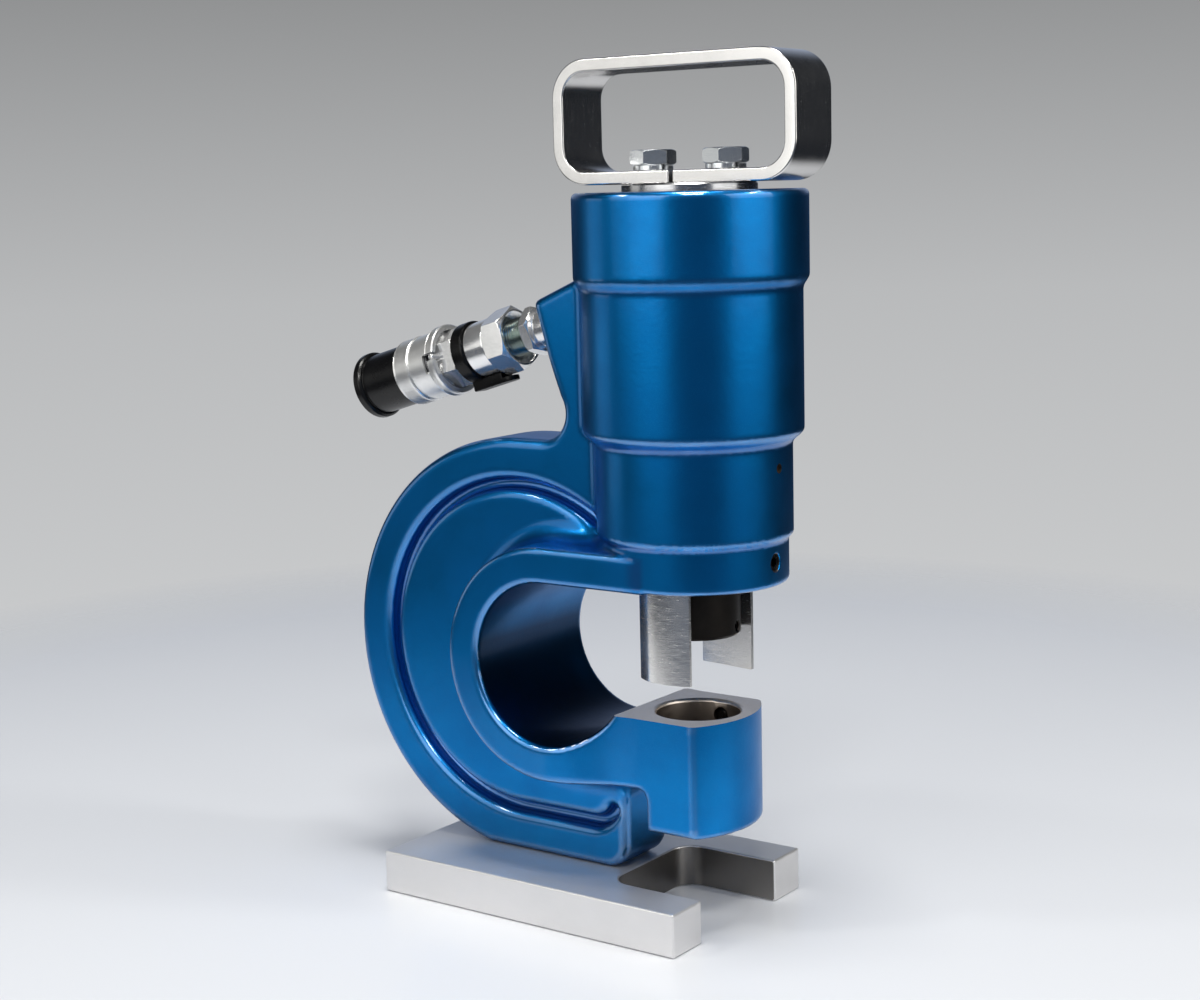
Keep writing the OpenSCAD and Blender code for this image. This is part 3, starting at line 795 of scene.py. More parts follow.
def round_meet(first: Array, second: Array, radius: float) -> Array:
    """The overlap of two distances, with a rounded outer edge."""
    corner = np.hypot(np.maximum(radius + first, 0.0), np.maximum(radius + second, 0.0))
    return np.minimum(-radius, np.maximum(first, second)) + corner


def disc(x: Array, z: Array, middle: Point, radius: float) -> Array:
    """The distance to a disc."""
    return np.hypot(x - middle[0], z - middle[1]) - radius


def oblong(x: Array, z: Array, low: Point, high: Point) -> Array:
    """The distance to an upright rectangle.

    Args:
        x: The points' places along X.
        z: The points' places along Z.
        low: The rectangle's lowest corner.
        high: Its highest corner.

    Returns:
        The distance of each point, positive outside.
    """
    across = np.maximum(low[0] - x, x - high[0])
    upward = np.maximum(low[1] - z, z - high[1])
    outside = np.hypot(np.maximum(across, 0), np.maximum(upward, 0))
    return outside + np.minimum(np.maximum(across, upward), 0)


def half_plane(x: Array, z: Array, start: Point, end: Point) -> Array:
    """The distance to the left-hand side of a line from start to end.

    Args:
        x: The points' places along X.
        z: The points' places along Z.
        start: The start of the line.
        end: Its end.

    Returns:
        The distance of each point, positive outside.
    """
    run = np.array(end) - np.array(start)
    run = run / np.hypot(*run)
    return (x - start[0]) * run[1] - (z - start[1]) * run[0]


def ramp(value: Array, start: float, end: float) -> Array:
    """A straight step from 0 at the start to 1 at the end."""
    return np.clip((value - start) / (end - start), 0.0, 1.0)


def ease(t: Array) -> Array:
    """A smooth step from 0 to 1."""
    t = np.clip(t, 0.0, 1.0)
    return t * t * t * (t * (t * 6 - 15) + 10)


@dataclass
class CastFrame:
    """The blue C-frame casting with its cylinder, drawn about the punch axis."""

    base_t: float = BASE_T
    spine: Point = (-94.0, 124.5)
    spine_r: float = 106.3
    spine_half_w: float = 18.5
    spine_edge: float = 4.5
    groove_r: float = 82.6
    groove_lift: float = 1.0
    groove_start: float = 43.0
    groove_over: float = 2.0
    groove_w: float = 5.4
    groove_depth: float = 8.0
    groove_edge: float = 4.2
    groove_floor_r: float = 2.4
    groove_run: float = 42.3
    groove_end_r: float = 14.0
    groove_end_turn: float = 62.0
    groove_spare: float = 1.2
    throat: Point = (-61.0, 125.4)
    throat_r: float = 40.0
    band_t: float = 17.5
    band_half_w: float = 44.2
    band_edge: float = 2.6
    ledge_fillet: float = 11.0
    foot_end: float = -31.0
    foot_r: float = 13.0
    foot_screw_r: float = 5.0
    foot_screw_top: float = 44.0
    jaw_top: float = 102.6
    jaw_spare: float = 4.0
    jaw_fillet: float = 6.0
    jaw_face_back: float = -31.0
    jaw_low: float = 48.0
    jaw_half_w: float = 30.5
    jaw_wall: float = -11.0
    jaw_nose: float = 27.5
    nose_corner: float = 16.0
    nose_edge: float = 1.6
    mouth_end: float = 90.0
    taper: Point = (-66.0, -13.0)
    die_r: float = 20.25
    die_depth: float = 26.0
    die_chamfer: float = 1.6
    slug_r: float = 16.0
    screw_r: float = 4.0
    vent_r: float = 2.25
    vent_z: float = 222.0
    collar_z: float = 165.4
    head_z: float = 348.8
    boss_up: float = 12.0
    boss_down: float = 17.5
    crest_x: float = -52.0
    crest_rise: float = 12.0
    neck_inset: float = 4.6
    neck_turn: float = 33.0
    neck_fillet: float = 13.5
    neck_edge: float = 2.0
    neck_back: float = -20.0
    neck_overlap: float = 16.0
    boss_edge: float = 3.0
    post_low: float = 150.0
    arm_overlap: float = 10.0
    barrel_edge: float = 2.6
    barrel_fillet: float = 5.0
    barrel_fade: float = 9.0
    opening_edge: float = 2.8
    voxel: float = 1.55

    # Each rise of the cylinder's outside: its lower end, its upper end and its height
    barrel_steps: Tuple[Place, ...] = ((186.2, 190.0, 2.3), (230.6, 239.2, 5.5), (302.4, 310.6, 3.0))
    # Turned holes, as radius and height pairs
    cylinder_bore: Tuple[Point, ...] = (
        (0, 150), (28.05, 150), (28.05, 190.4), (27.0, 190.4), (27.0, SPRING_SEAT_Z),
        (34.0, SPRING_SEAT_Z), (34.0, 238.0), (40.0, 238.0), (40.0, 306.0), (44.0, 306.0), (44.0, 360),
        (0, 360))
    inlet_port: Tuple[Point, ...] = ((0, -50), (4, -50), (4, -14), (8.2, -14), (8.2, 6), (0, 6))
    # The paint's painted shade: on the throat's wall, weaker in its upper part, and low on the foot and
    # at its end near the plate; the jaw's nose gets less painted highlight and gloss on its edges
    throat_shade_half_w: float = 41.0
    throat_shade_rise: Point = (6.0, 20.0)
    throat_shade_loss: float = 0.7
    foot_shade: float = 0.42
    foot_shade_z: Point = (58.0, 34.0)
    end_shade: float = 0.5
    end_shade_z: Point = (56.0, 36.0)
    end_shade_run: Point = (18.0, 4.0)
    nose_margin: float = 4.0
    nose_gloss: float = 0.25

    @property
    def nose_r(self) -> float:
        """The radius of the jaw's nose."""
        depth = self.jaw_nose - self.nose_corner
        return (self.jaw_half_w ** 2 + depth ** 2) / 2 / depth

    @property
    def boss_corners(self) -> Tuple[Point, Point]:
        """The upper and lower corners of the boss face, seen from the side.

        Returns:
            The two corners, as places along X and Z.
        """
        up = np.array([-math.sin(TILT), math.cos(TILT)])
        middle = np.array(BOSS)
        return tuple(middle + self.boss_up * up), tuple(middle - self.boss_down * up)

    @property
    def groove_middle(self) -> Point:
        """The middle of the groove's ring, seen from the side."""
        return self.spine[0], self.spine[1] + self.groove_lift

    def groove(self, x: Array, z: Array) -> Array:
        """The distance to the groove's middle line, seen from the side.

        Args:
            x: The points' places along X.
            z: The points' places along Z.

        Returns:
            The distance of each point.
        """
        dx = x - self.groove_middle[0]
        dz = z - self.groove_middle[1]
        ring = np.abs(np.hypot(dx, dz) - self.groove_r)
        along = np.degrees(np.arctan2(dz, dx))
        on_ring = (along > self.groove_start) | (along < -90.0)
        first = math.radians(self.groove_start)
        start = np.hypot(dx - self.groove_r * math.cos(first), dz - self.groove_r * math.sin(first))
        ring = np.where(on_ring, ring, start)
        level = np.hypot(dx - np.clip(dx, 0.0, self.groove_run), dz + self.groove_r)
        ex = dx - self.groove_run
        ez = dz + self.groove_r - self.groove_end_r
        turned = np.degrees(np.arctan2(ex, -ez))
        on_end = (turned >= 0.0) & (turned <= self.groove_end_turn)
        last = math.radians(self.groove_end_turn)
        tip = np.hypot(ex - self.groove_end_r * math.sin(last),
                       ez + self.groove_end_r * math.cos(last))
        end = np.where(on_end, np.abs(np.hypot(ex, ez) - self.groove_end_r), tip)
        return np.minimum(np.minimum(ring, level), end)

    def spine_plate(self, x: Array, y: Array, z: Array) -> Array:
        """The distance to the spine plate with its grooves, foot and neck.

        Args:
            x: The points' places along X.
            y: The points' places along Y.
            z: The points' places along Z.

        Returns:
            The distance of each point, positive outside.
        """
        quarter = np.maximum(self.spine[0] - x, z - self.spine[1])
        outline = np.minimum(disc(x, z, self.spine, self.spine_r), quarter)
        outline = np.maximum(outline, round_meet(x - self.foot_end, self.base_t - z, self.foot_r))
        top, low = self.boss_corners
        cx, cz = low[0] - self.neck_inset, self.spine[1] + self.spine_r + self.neck_fillet
        turn = math.radians(self.neck_turn)
        meet = (cx + self.neck_fillet * math.cos(turn), cz + self.neck_fillet * math.sin(turn))
        crest = half_plane(x, z, (self.crest_x, top[1] + self.crest_rise), top)
        face = half_plane(x, z, top, low)
        under = half_plane(x, z, low, meet)
        neck = round_meet(round_meet(crest, face, self.boss_edge), under, self.neck_edge)
        neck = np.maximum(neck, np.maximum(x - self.neck_back, meet[1] - self.neck_overlap - z))
        post = oblong(x, z, (self.spine[0], self.post_low), (self.neck_back, meet[1]))
        well_inside = -99.0
        post = np.maximum(post, np.where(x < cx, z - self.spine[1] - self.spine_r, well_inside))
        neck = np.maximum(np.minimum(neck, post), -disc(x, z, (cx, cz), self.neck_fillet))
        outline = np.minimum(outline, neck)
        plate = round_meet(outline, np.abs(y) - self.spine_half_w, self.spine_edge)
        floor = self.spine_half_w - self.groove_depth - np.abs(y)
        channel = round_meet(self.groove(x, z) - self.groove_w / 2, floor, self.groove_floor_r)
        return round_meet(plate, -channel, self.groove_edge)

    def band(self, x: Array, y: Array, z: Array) -> Array:
        """The distance to the wide band round the throat, the arm and the jaw.

        Args:
            x: The points' places along X.
            y: The points' places along Y.
            z: The points' places along Z.

        Returns:
            The distance of each point, positive outside.
        """
        cx, cz = self.throat
        low = cz - self.throat_r - self.band_t
        ring = disc(x, z, self.throat, self.throat_r + self.band_t)
        arm = oblong(x, z, (cx, self.collar_z - self.arm_overlap), (0.0, self.collar_z + self.band_t))
        past_nose = self.jaw_nose + 9.0
        jaw = oblong(x, z, (cx, low), (past_nose, self.jaw_top + 2 * self.jaw_spare))
        block = oblong(x, z, (self.jaw_wall, self.jaw_low), (past_nose, self.jaw_top))
        outline = np.minimum(np.minimum(ring, arm), round_join(jaw, block, self.jaw_fillet))
        start, stop = self.taper
        share = ease((x - start) / (stop - start))
        narrow = self.band_half_w + (self.jaw_half_w - self.band_half_w) * share
        below = z < cz
        width = np.abs(y) - np.where(below, narrow, self.band_half_w)
        solid_band = round_meet(outline, width, self.band_edge)
        front = self.jaw_nose - self.nose_r
        nose = np.hypot(np.maximum(x - front, 0.0), y) - self.nose_r
        return np.where(below, round_meet(solid_band, nose, self.nose_edge), solid_band)

    def barrel(self, x: Array, y: Array, z: Array) -> Array:
        """The distance to the turned outside of the cylinder.

        Args:
            x: The points' places along X.
            y: The points' places along Y.
            z: The points' places along Z.

        Returns:
            The distance of each point, positive outside.
        """
        radius = np.full_like(z, self.band_half_w)
        for low, high, rise in self.barrel_steps:
            radius = radius + rise * ease((z - low) / (high - low))
        # The steps lean, so the way across to them is a little shorter than the level one
        lean = 0.92
        side = (np.hypot(x, y) - radius) * lean
        ends = np.maximum(self.collar_z - z, z - self.head_z)
        return round_meet(side, ends, self.barrel_edge)

    def opening(self, x: Array, z: Array) -> Array:
        """The distance to the throat's opening, seen from the side.

        Args:
            x: The points' places along X.
            z: The points' places along Z.

        Returns:
            The distance of each point, positive outside the opening.
        """
        mouth = oblong(x, z, (self.throat[0], self.jaw_top + self.jaw_spare),
                       (self.mouth_end, self.collar_z))
        return np.minimum(disc(x, z, self.throat, self.throat_r), mouth)

    def distance(self, points: Array) -> Array:
        """The distance from each point to the cast surface, positive outside.

        Args:
            points: The points, one in each row.

        Returns:
            Their distances.
        """
        x, y, z = points.T
        body = round_join(self.spine_plate(x, y, z), self.band(x, y, z), self.ledge_fillet)
        beside = np.clip((self.band_half_w - np.abs(y)) / self.barrel_fade, 0.02, 1.0)
        body = round_join(body, self.barrel(x, y, z), self.barrel_fillet * beside)
        return round_meet(body, -self.opening(x, z), self.opening_edge)

    def slope(self, points: Array, reach: float = 0.1) -> Array:
        """The gradient of the distance at each point.

        Args:
            points: The points, one in each row.
            reach: How far to each side the distance is taken.

        Returns:
            A gradient in each row.
        """
        sides = [self.distance(points + reach * step) - self.distance(points - reach * step)
                 for step in np.eye(3)]
        return np.stack(sides, axis=1) / (2 * reach)

    def bend(self, points: Array, reach: float = 1.1) -> Array:
        """How sharply the surface bends at each point, positive on outer edges.

        Args:
            points: The points, one in each row.
            reach: How far to each side the distance is taken.

        Returns:
            A bend for each point.
        """
        total = sum(self.distance(points + reach * step) + self.distance(points - reach * step)
                    for step in np.eye(3))
        return (total - 6 * self.distance(points)) / reach ** 2

    def rough_shape(self) -> Shape:
        """The casting as plain solids, before its edges and fillets are settled.

        Returns:
            The plain casting.
        """
        cx, half_w = self.spine[0], self.spine_half_w
        shape = Shape.wheel(self.spine, self.spine_r, half_w, 128)
        wide, far = 60, 300
        shape.act(Shape.slab((-far, -wide, self.base_t), (self.foot_end, wide, far)), Cut.KEEP)
        foot = Shape.slab((cx, -half_w, self.base_t), (self.foot_end, half_w, 90))
        top, low = self.boss_corners
        crest_z = top[1] + self.crest_rise
        neck = Shape.side_plate([(-10, 150), (-10, crest_z), (self.crest_x, crest_z), top, low,
                                 (-64, 250), (-66, 238), (-80, 231), (cx, 228), (cx, 180)], half_w)
        tx, tz = self.throat
        ring = Shape.wheel(self.throat, self.throat_r + self.band_t, self.band_half_w)
        ring.act(Shape.slab((-58, -wide, 0), (far, wide, tz)), Cut.REMOVE)
        arm = Shape.slab((tx, -self.band_half_w, 150),
                         (0, self.band_half_w, self.collar_z + self.band_t))
        outline = [(tx - 10, -43.5), (-58, -43.6), (-40, -37.5), (-22, -31.5), (self.taper[1], -30.6),
                   (self.nose_corner, -self.jaw_half_w), (24, -18), (self.jaw_nose, 0)]
        outline += [(px, -py) for px, py in reversed(outline[:-1])]
        jaw = Shape.prism(outline, tz - self.throat_r - self.band_t, self.jaw_top + self.jaw_spare)
        block = Shape.prism(outline, self.jaw_low, self.jaw_top)
        block.act(Shape.slab((self.jaw_wall, -wide, 0), (far, wide, far)), Cut.KEEP)
        barrel = Shape.turned([(0, self.collar_z), (44.2, self.collar_z), (44.2, 187), (46.5, 190),
                               (46.5, 231), (52, 239), (52, 303), (55, 310), (55, self.head_z),
                               (0, self.head_z)])
        shape.act(foot, Cut.JOIN).act(neck, Cut.JOIN)
        for side in (-1, 1):
            shape.act(self.groove_cutter(side), Cut.REMOVE)
        for other in (ring, arm, jaw, block, barrel):
            shape.act(other, Cut.JOIN)
        opening = Shape.wheel(self.throat, self.throat_r, 70)
        mouth = Shape.slab((tx, -70, self.jaw_top + self.jaw_spare), (self.mouth_end, 70, self.collar_z))
        opening.act(mouth, Cut.JOIN)
        return shape.act(opening, Cut.REMOVE)

    def groove_section(self) -> List[Point]:
        """A little more than the groove's section, as places across it and depths.

        Returns:
            The corners of the section.
        """
        half = self.groove_w / 2 + self.groove_spare
        lip = self.groove_edge - self.groove_spare
        low = self.groove_floor_r + self.groove_spare
        deep = self.groove_depth + self.groove_spare
        edge = [(half + lip, -4.0)]
        for step in range(6):
            angle = step * math.pi / 10
            edge.append((half + lip * (1 - math.sin(angle)), lip * (1 - math.cos(angle))))
        for step in range(5):
            angle = step * math.pi / 8
            edge.append((half - low * (1 - math.cos(angle)), deep - low * (1 - math.sin(angle))))
        return edge + [(-across, depth) for across, depth in reversed(edge)]

    def groove_cutter(self, side: int) -> Shape:
        """A bar that follows the groove on one side of the spine.

        Args:
            side: The side, -1 or 1.

        Returns:
            The bar.
        """
        bar = Shape()
        bar.begin([(self.groove_r + across, side * (self.spine_half_w - depth), 0)
                   for across, depth in self.groove_section()])
        start = self.groove_start + self.groove_over
        bar.move(Matrix.Rotation(math.radians(-start), 4, "Y"))
        bar.sweep(math.radians(-180.0 - start), (0, 0, 0), 90)
        bar.run((self.groove_run, 0, 0))
        end_middle = (self.groove_run, 0, self.groove_end_r - self.groove_r)
        bar.sweep(math.radians(-self.groove_end_turn), end_middle)
        return bar.closed().move(shift(*self.groove_middle))

    def cutters(self) -> Tuple[Shape, Shape]:
        """Two sets of machined holes and faces, apart from each other within each set.

        Returns:
            The two sets, each in one mesh.
        """
        top, above = self.jaw_top, self.jaw_top + self.jaw_spare
        first = Shape.slab((self.jaw_face_back, -60, top), (60, 60, top + 14))
        first.add(Shape.turned(self.cylinder_bore, 128))
        for x in BASE_SCREWS_X:
            first.add(Shape.rod(self.foot_screw_r, 10, self.foot_screw_top).move(shift(x)))
        back = Matrix.Rotation(-math.pi / 2, 4, "X")
        first.add(Shape.rod(self.screw_r, self.die_r - 4, 60).move(shift(z=DIE_SCREW_Z) @ back))
        deep = top - self.die_depth
        second = Shape.turned([(0, 40), (self.slug_r, 40), (self.slug_r, deep), (self.die_r, deep),
                               (self.die_r, top - self.die_chamfer),
                               (self.die_r + self.die_chamfer + self.jaw_spare, above), (0, above)], 128)
        mouth_r = self.screw_r + 0.7
        screw = Shape.turned([(0, 24), (self.screw_r, 24), (self.screw_r, 43.6), (mouth_r, 44.3),
                              (mouth_r, 60), (0, 60)])
        second.add(screw.move(shift(z=STRIPPER_SCREW_Z) @ ALONG_X))
        second.add(Shape.rod(self.vent_r, 42.0, 60, 32).move(shift(z=self.vent_z) @ ALONG_X))
        second.add(Shape.turned(self.inlet_port).move(COUPLER_PLACE_ON_AXIS))
        return first, second

    def settle(self, shape: Shape) -> None:
        """Draws the mesh onto the cast surface and evens its spacing.

        Args:
            shape: The casting as an even mesh.
        """
        mesh = bpy.data.meshes.new("settle")
        shape.bm.to_mesh(mesh)
        count = len(mesh.vertices)
        flat = np.empty(count * 3)
        mesh.vertices.foreach_get("co", flat)
        points = flat.reshape(-1, 3)
        ends = np.empty(len(mesh.edges) * 2, dtype=np.int64)
        mesh.edges.foreach_get("vertices", ends)
        near, far = ends.reshape(-1, 2).T
        share = np.bincount(near, minlength=count) + np.bincount(far, minlength=count)
        turns, even_turns, longest, even_share = 16, 12, 1.5, 0.5
        for turn in range(turns):
            way = self.slope(points)
            size = np.maximum((way ** 2).sum(1), 0.25)
            step = np.clip(self.distance(points) / size, -longest, longest)
            points = points - step[:, None] * way
            if turn < even_turns:
                sums = [np.bincount(near, points[far, k], count)
                        + np.bincount(far, points[near, k], count) for k in range(3)]
                pull = np.stack(sums, axis=1) / share[:, None] - points
                along = way / np.sqrt(size)[:, None]
                pull = pull - (pull * along).sum(1)[:, None] * along
                points = points + even_share * pull
        mesh.vertices.foreach_set("co", points.ravel())
        shape.take(mesh)

    def shades(self, points: Array) -> Dict[str, Array]:
        """What the paint reads at each point of the mesh.

        Args:
            points: The points.

        Returns:
            The outer edges for a painted highlight and gloss, the hollows for painted shade and gloss,
            and the places of painted shade, by attribute name.
        """
        x, y, z = points.T
        bends = self.bend(points)
        # Outer edges: a painted highlight in the colour and more gloss, both weaker on the faces of the
        # jaw's nose
        margin = self.nose_margin
        nose = ((x > self.jaw_wall + margin) & (z > self.jaw_low + margin)
                & (z < self.jaw_top - margin))
        edge = np.where(nose, self.nose_gloss, 1.0) * np.clip(3.0 * bends - 0.15, 0.0, 1.0)
        # Painted shade on the throat's wall, and low on the foot and at its end near the plate
        side = np.abs(y)
        off_wall = np.abs(self.opening(x, z)) + np.maximum(side - self.throat_shade_half_w, 0.0)
        upper = ramp(z - self.throat[1], *self.throat_shade_rise)
        throat = np.clip(3.6 - 3.0 * off_wall, 0.0, 1.0) * (1.0 - self.throat_shade_loss * upper)
        end = ramp(self.foot_end - x, *self.end_shade_run) * ramp(z, *self.end_shade_z)
        foot = np.maximum(self.end_shade * end, self.foot_shade * ramp(z, *self.foot_shade_z))
        foot = np.where(side < self.spine_half_w + 1.0, foot, 0.0)
        return {"edge": edge, "hollow": -3.0 * bends, "inside": np.maximum(throat, foot)}

    def build(self) -> None:
        """Models the casting and puts it in place of its CAD node."""
        shape = self.rough_shape().remesh(self.voxel)
        self.settle(shape)
        for cutter in self.cutters():
            shape.act(cutter, Cut.REMOVE)
        middles = np.array([face.calc_center_median() for face in shape.bm.faces])
        below_skin = self.distance(middles) < -0.25
        for face, middle, machined in zip(shape.bm.faces, middles, below_skin):
            bored = machined and abs(middle[2] - self.jaw_top) > self.die_chamfer + 0.1
            face.material_index = int(machined) + int(bored)
        # The attributes edge, hollow and inside carry the paint's painted highlight and painted shade
        shades = self.shades(np.array([vert.co for vert in shape.bm.verts]))
        made = piece("cast_frame", shape, Body.FRAME, (PAINT, FACED_STEEL, BORE_STEEL),
                     "frame_casting", sharp=52.0)
        for name, shade in shades.items():
            layer = made.data.attributes.new(name, "FLOAT", "POINT")
            layer.data.foreach_set("value", np.clip(shade, 0.0, 1.0).astype(np.float32))


@dataclass
class Base:
    """The base plate with its slug notch, and the screws that hold the casting."""

    half_l: float = 88.0
    half_w: float = 57.0
    thick: float = BASE_T
    notch_back: float = 35.4
    notch_half_w: float = 33.0
    notch_r: float = 11.0
    edge: float = 1.1
    screw_r: float = 5.0
    screw_top: float = 41.0
    head_r: float = 8.0
    head_low: float = 1.5
    head_play: float = 0.4
    screw_play: float = 0.3

    @property
    def head_top(self) -> float:
        """The seat of the screw heads."""
        return self.head_low + 2 * self.screw_r

    def plate(self) -> Shape:
        """The ground plate, with its notch rounded at the back.

        Returns:
            The plate, before its screw holes.
        """
        long, wide, back, side = self.half_l, self.half_w, self.notch_back, self.notch_half_w
        shape = Shape.prism([(-long, -wide), (long, -wide), (long, -side), (back, -side), (back, side),
                             (long, side), (long, wide), (-long, wide)], 0.0, self.thick)
        shape.round_edges(self.notch_r, 12, where=lambda m: abs(m.x - back) < 1
                          and abs(m.z - self.thick / 2) < 1)
        return shape.round_edges(self.edge, 3)

    def screw_hole(self) -> Shape:
        """The counterbored hole for one screw, with some play.

        Returns:
            The solid that the hole takes away.
        """
        wide, narrow = self.head_r + self.head_play, self.screw_r + self.screw_play
        return Shape.turned([(0, -5), (wide, -5), (wide, self.head_top), (narrow, self.head_top),
                             (narrow, 30), (0, 30)], 64)

    def screw(self) -> Shape:
        """One socket head screw, with its head down.

        Returns:
            The screw, about the Z axis.
        """
        low, top, radius, head_r = self.head_low, self.screw_top, self.screw_r, self.head_r
        shape = Shape.turned([(0, low), (head_r - 0.6, low), (head_r, low + 0.6),
                              (head_r, self.head_top), (radius, self.head_top), (radius, top - 0.8),
                              (radius - 0.8, top), (0, top)])
        return shape.act(Shape.hex_bar(head_r, -3, low + radius), Cut.REMOVE)

    def build(self) -> None:
        """Models the plate and its screws, in the part's own frame."""
        plate = self.plate()
        screws = Shape()
        for x in BASE_SCREWS_X:
            spot = shift(x + AXIS_X)
            plate.act(self.screw_hole().move(spot), Cut.REMOVE)
            screws.add(self.screw().move(spot))
        # The notch's walls take the dark milled steel: a milled face, darkened further as painted shade
        for face in plate.bm.faces:
            middle = face.calc_center_median()
            between = middle.x > self.notch_back - 0.5 and abs(middle.y) < self.notch_half_w + 0.1
            face.material_index = int(between and abs(face.normal.z) < 0.3)
        as_drawn = Matrix.Identity(4)
        piece("ground_base_plate", plate, Body.FRAME, (PLATE_STEEL, MILLED_AND_SHADED_STEEL),
              "base_plate", as_drawn)
        piece("socket_head_screws", screws, Body.FRAME, (BLACK_STEEL,),
              "base_screws", as_drawn)


@dataclass
class Head:
    """The end cap, the handle loop and the bolts that hold it."""

    boss_top: float = 352.3
    cap_top: float = 345.8
    boss_r: float = 31.5
    half_l: float = 66.25
    height: float = 58.2
    half_w: float = 16.0
    thick: float = 6.0
    bend_r: float = 18.0
    half_gap: float = 1.0
    bolt_x: float = 20.0
    bolt_r: float = 6.0
    bolt_across: float = 18.96
    bolt_head: float = 7.2
    bolt_low: float = 328.3
    bolt_turns: Tuple[float, float] = (-21.5, -16.0)
    bolt_play: float = 0.3
    washer_t: float = 2.5
    washer_r: float = 9.36
    washer_rise: float = 0.3
    washer_wind: float = 351.0
    washer_turn: float = -20.0

    # The cap's stop, seal groove and thread, as radius and height pairs
    cap_low: Tuple[Point, ...] = (
        (0, 288), (12.4, 288), (13, 288.6), (13, 300), (39.95, 300), (39.95, 301.5), (37.5, 301.5),
        (37.5, 304.5), (39.95, 304.5), (39.95, 306), (44, 306))

    def drill(self, shape: Shape, radius: float, low: float, high: float) -> Shape:
        """Makes the holes for the two bolts.

        Args:
            shape: The cap or the strip.
            radius: The radius of the holes.
            low: Their lower end.
            high: Their upper end.

        Returns:
            The same shape.
        """
        for side in (-1, 1):
            shape.act(Shape.rod(radius, low, high).move(shift(side * self.bolt_x)), Cut.REMOVE)
        return shape

    def cap(self) -> Shape:
        """The screwed end cap, from its stop up to the boss.

        Returns:
            The cap.
        """
        top, cap_top, radius = self.boss_top, self.cap_top, self.boss_r
        shape = Shape.turned([*self.cap_low, (44, cap_top - 0.8), (43.2, cap_top), (radius, cap_top),
                              (radius, top - 0.7), (radius - 0.7, top), (0, top)], 128)
        return self.drill(shape, self.bolt_r, self.bolt_low - 2, top + 5)

    def handle(self) -> Shape:
        """The flat strip bent to a loop, open in the middle of its lower run.

        Returns:
            The handle.
        """
        low, high = self.boss_top, self.boss_top + self.thick
        strip = Shape()
        strip.begin([(self.half_gap, y, z) for y, z in ((-self.half_w, low), (self.half_w, low),
                                                        (self.half_w, high), (-self.half_w, high))])
        reach = self.half_l - self.bend_r
        rise = self.height - 2 * self.bend_r
        middle = low + self.bend_r
        quarter = -math.pi / 2
        strip.run((reach - self.half_gap, 0, 0)).sweep(quarter, (reach, 0, middle))
        strip.run((0, 0, rise)).sweep(quarter, (reach, 0, middle + rise))
        strip.run((-2 * reach, 0, 0)).sweep(quarter, (-reach, 0, middle + rise))
        strip.run((0, 0, -rise)).sweep(quarter, (-reach, 0, middle))
        strip.run((reach - self.half_gap, 0, 0)).closed()
        strip.round_edges(0.8, 3)
        return self.drill(strip, self.bolt_r + self.bolt_play, low - 3, high + 3)

    def bolt(self, turn: float) -> Shape:
        """One hexagon bolt.

        Args:
            turn: The turn of its head, in degrees.

        Returns:
            The bolt, about the Z axis.
        """
        seat = self.boss_top + self.thick + self.washer_t
        low, radius = self.bolt_low, self.bolt_r
        head = Shape.hex_bar(self.bolt_across, seat, seat + self.bolt_head, turn)
        shank = Shape.turned([(0, low), (radius - 1, low), (radius, low + 1), (radius, seat + 1),
                              (0, seat + 1)])
        return head.round_edges(0.22, 2, 20.0).act(shank, Cut.JOIN)

    def washer(self) -> Shape:
        """One split spring washer.

        Returns:
            The washer, about the Z axis.
        """
        low = self.boss_top + self.thick
        high = low + self.washer_t - self.washer_rise
        inner, outer = self.bolt_r + self.bolt_play, self.washer_r
        steps = 72
        ring = Shape().begin([(inner, 0, low), (outer, 0, low), (outer, 0, high), (inner, 0, high)])
        ring.wind(math.radians(self.washer_wind), steps, self.washer_rise / steps)
        return ring.closed().round_edges(0.25, 2).move(turn_z(self.washer_turn))

    def build(self) -> None:
        """Models the cap, the handle and their fasteners."""
        bolts = Shape()
        washers = Shape()
        for side, turn in zip((-1, 1), self.bolt_turns):
            spot = shift(side * self.bolt_x)
            bolts.add(self.bolt(turn).move(spot))
            washers.add(self.washer().move(spot))
        for name, shape, finish, slot, node in (
                ("turned_end_cap", self.cap(), CAP_STEEL, "turned_steel", "end_cap"),
                ("bent_handle", self.handle(), BRIGHT_STEEL, "bright_steel", "handle_strap"),
                ("hexagon_bolts", bolts, ZINC, "zinc", "handle_bolts"),
                ("spring_washers", washers, ZINC, "zinc", "handle_washers")):
            piece(name, shape, Body.FRAME, (finish,), node)


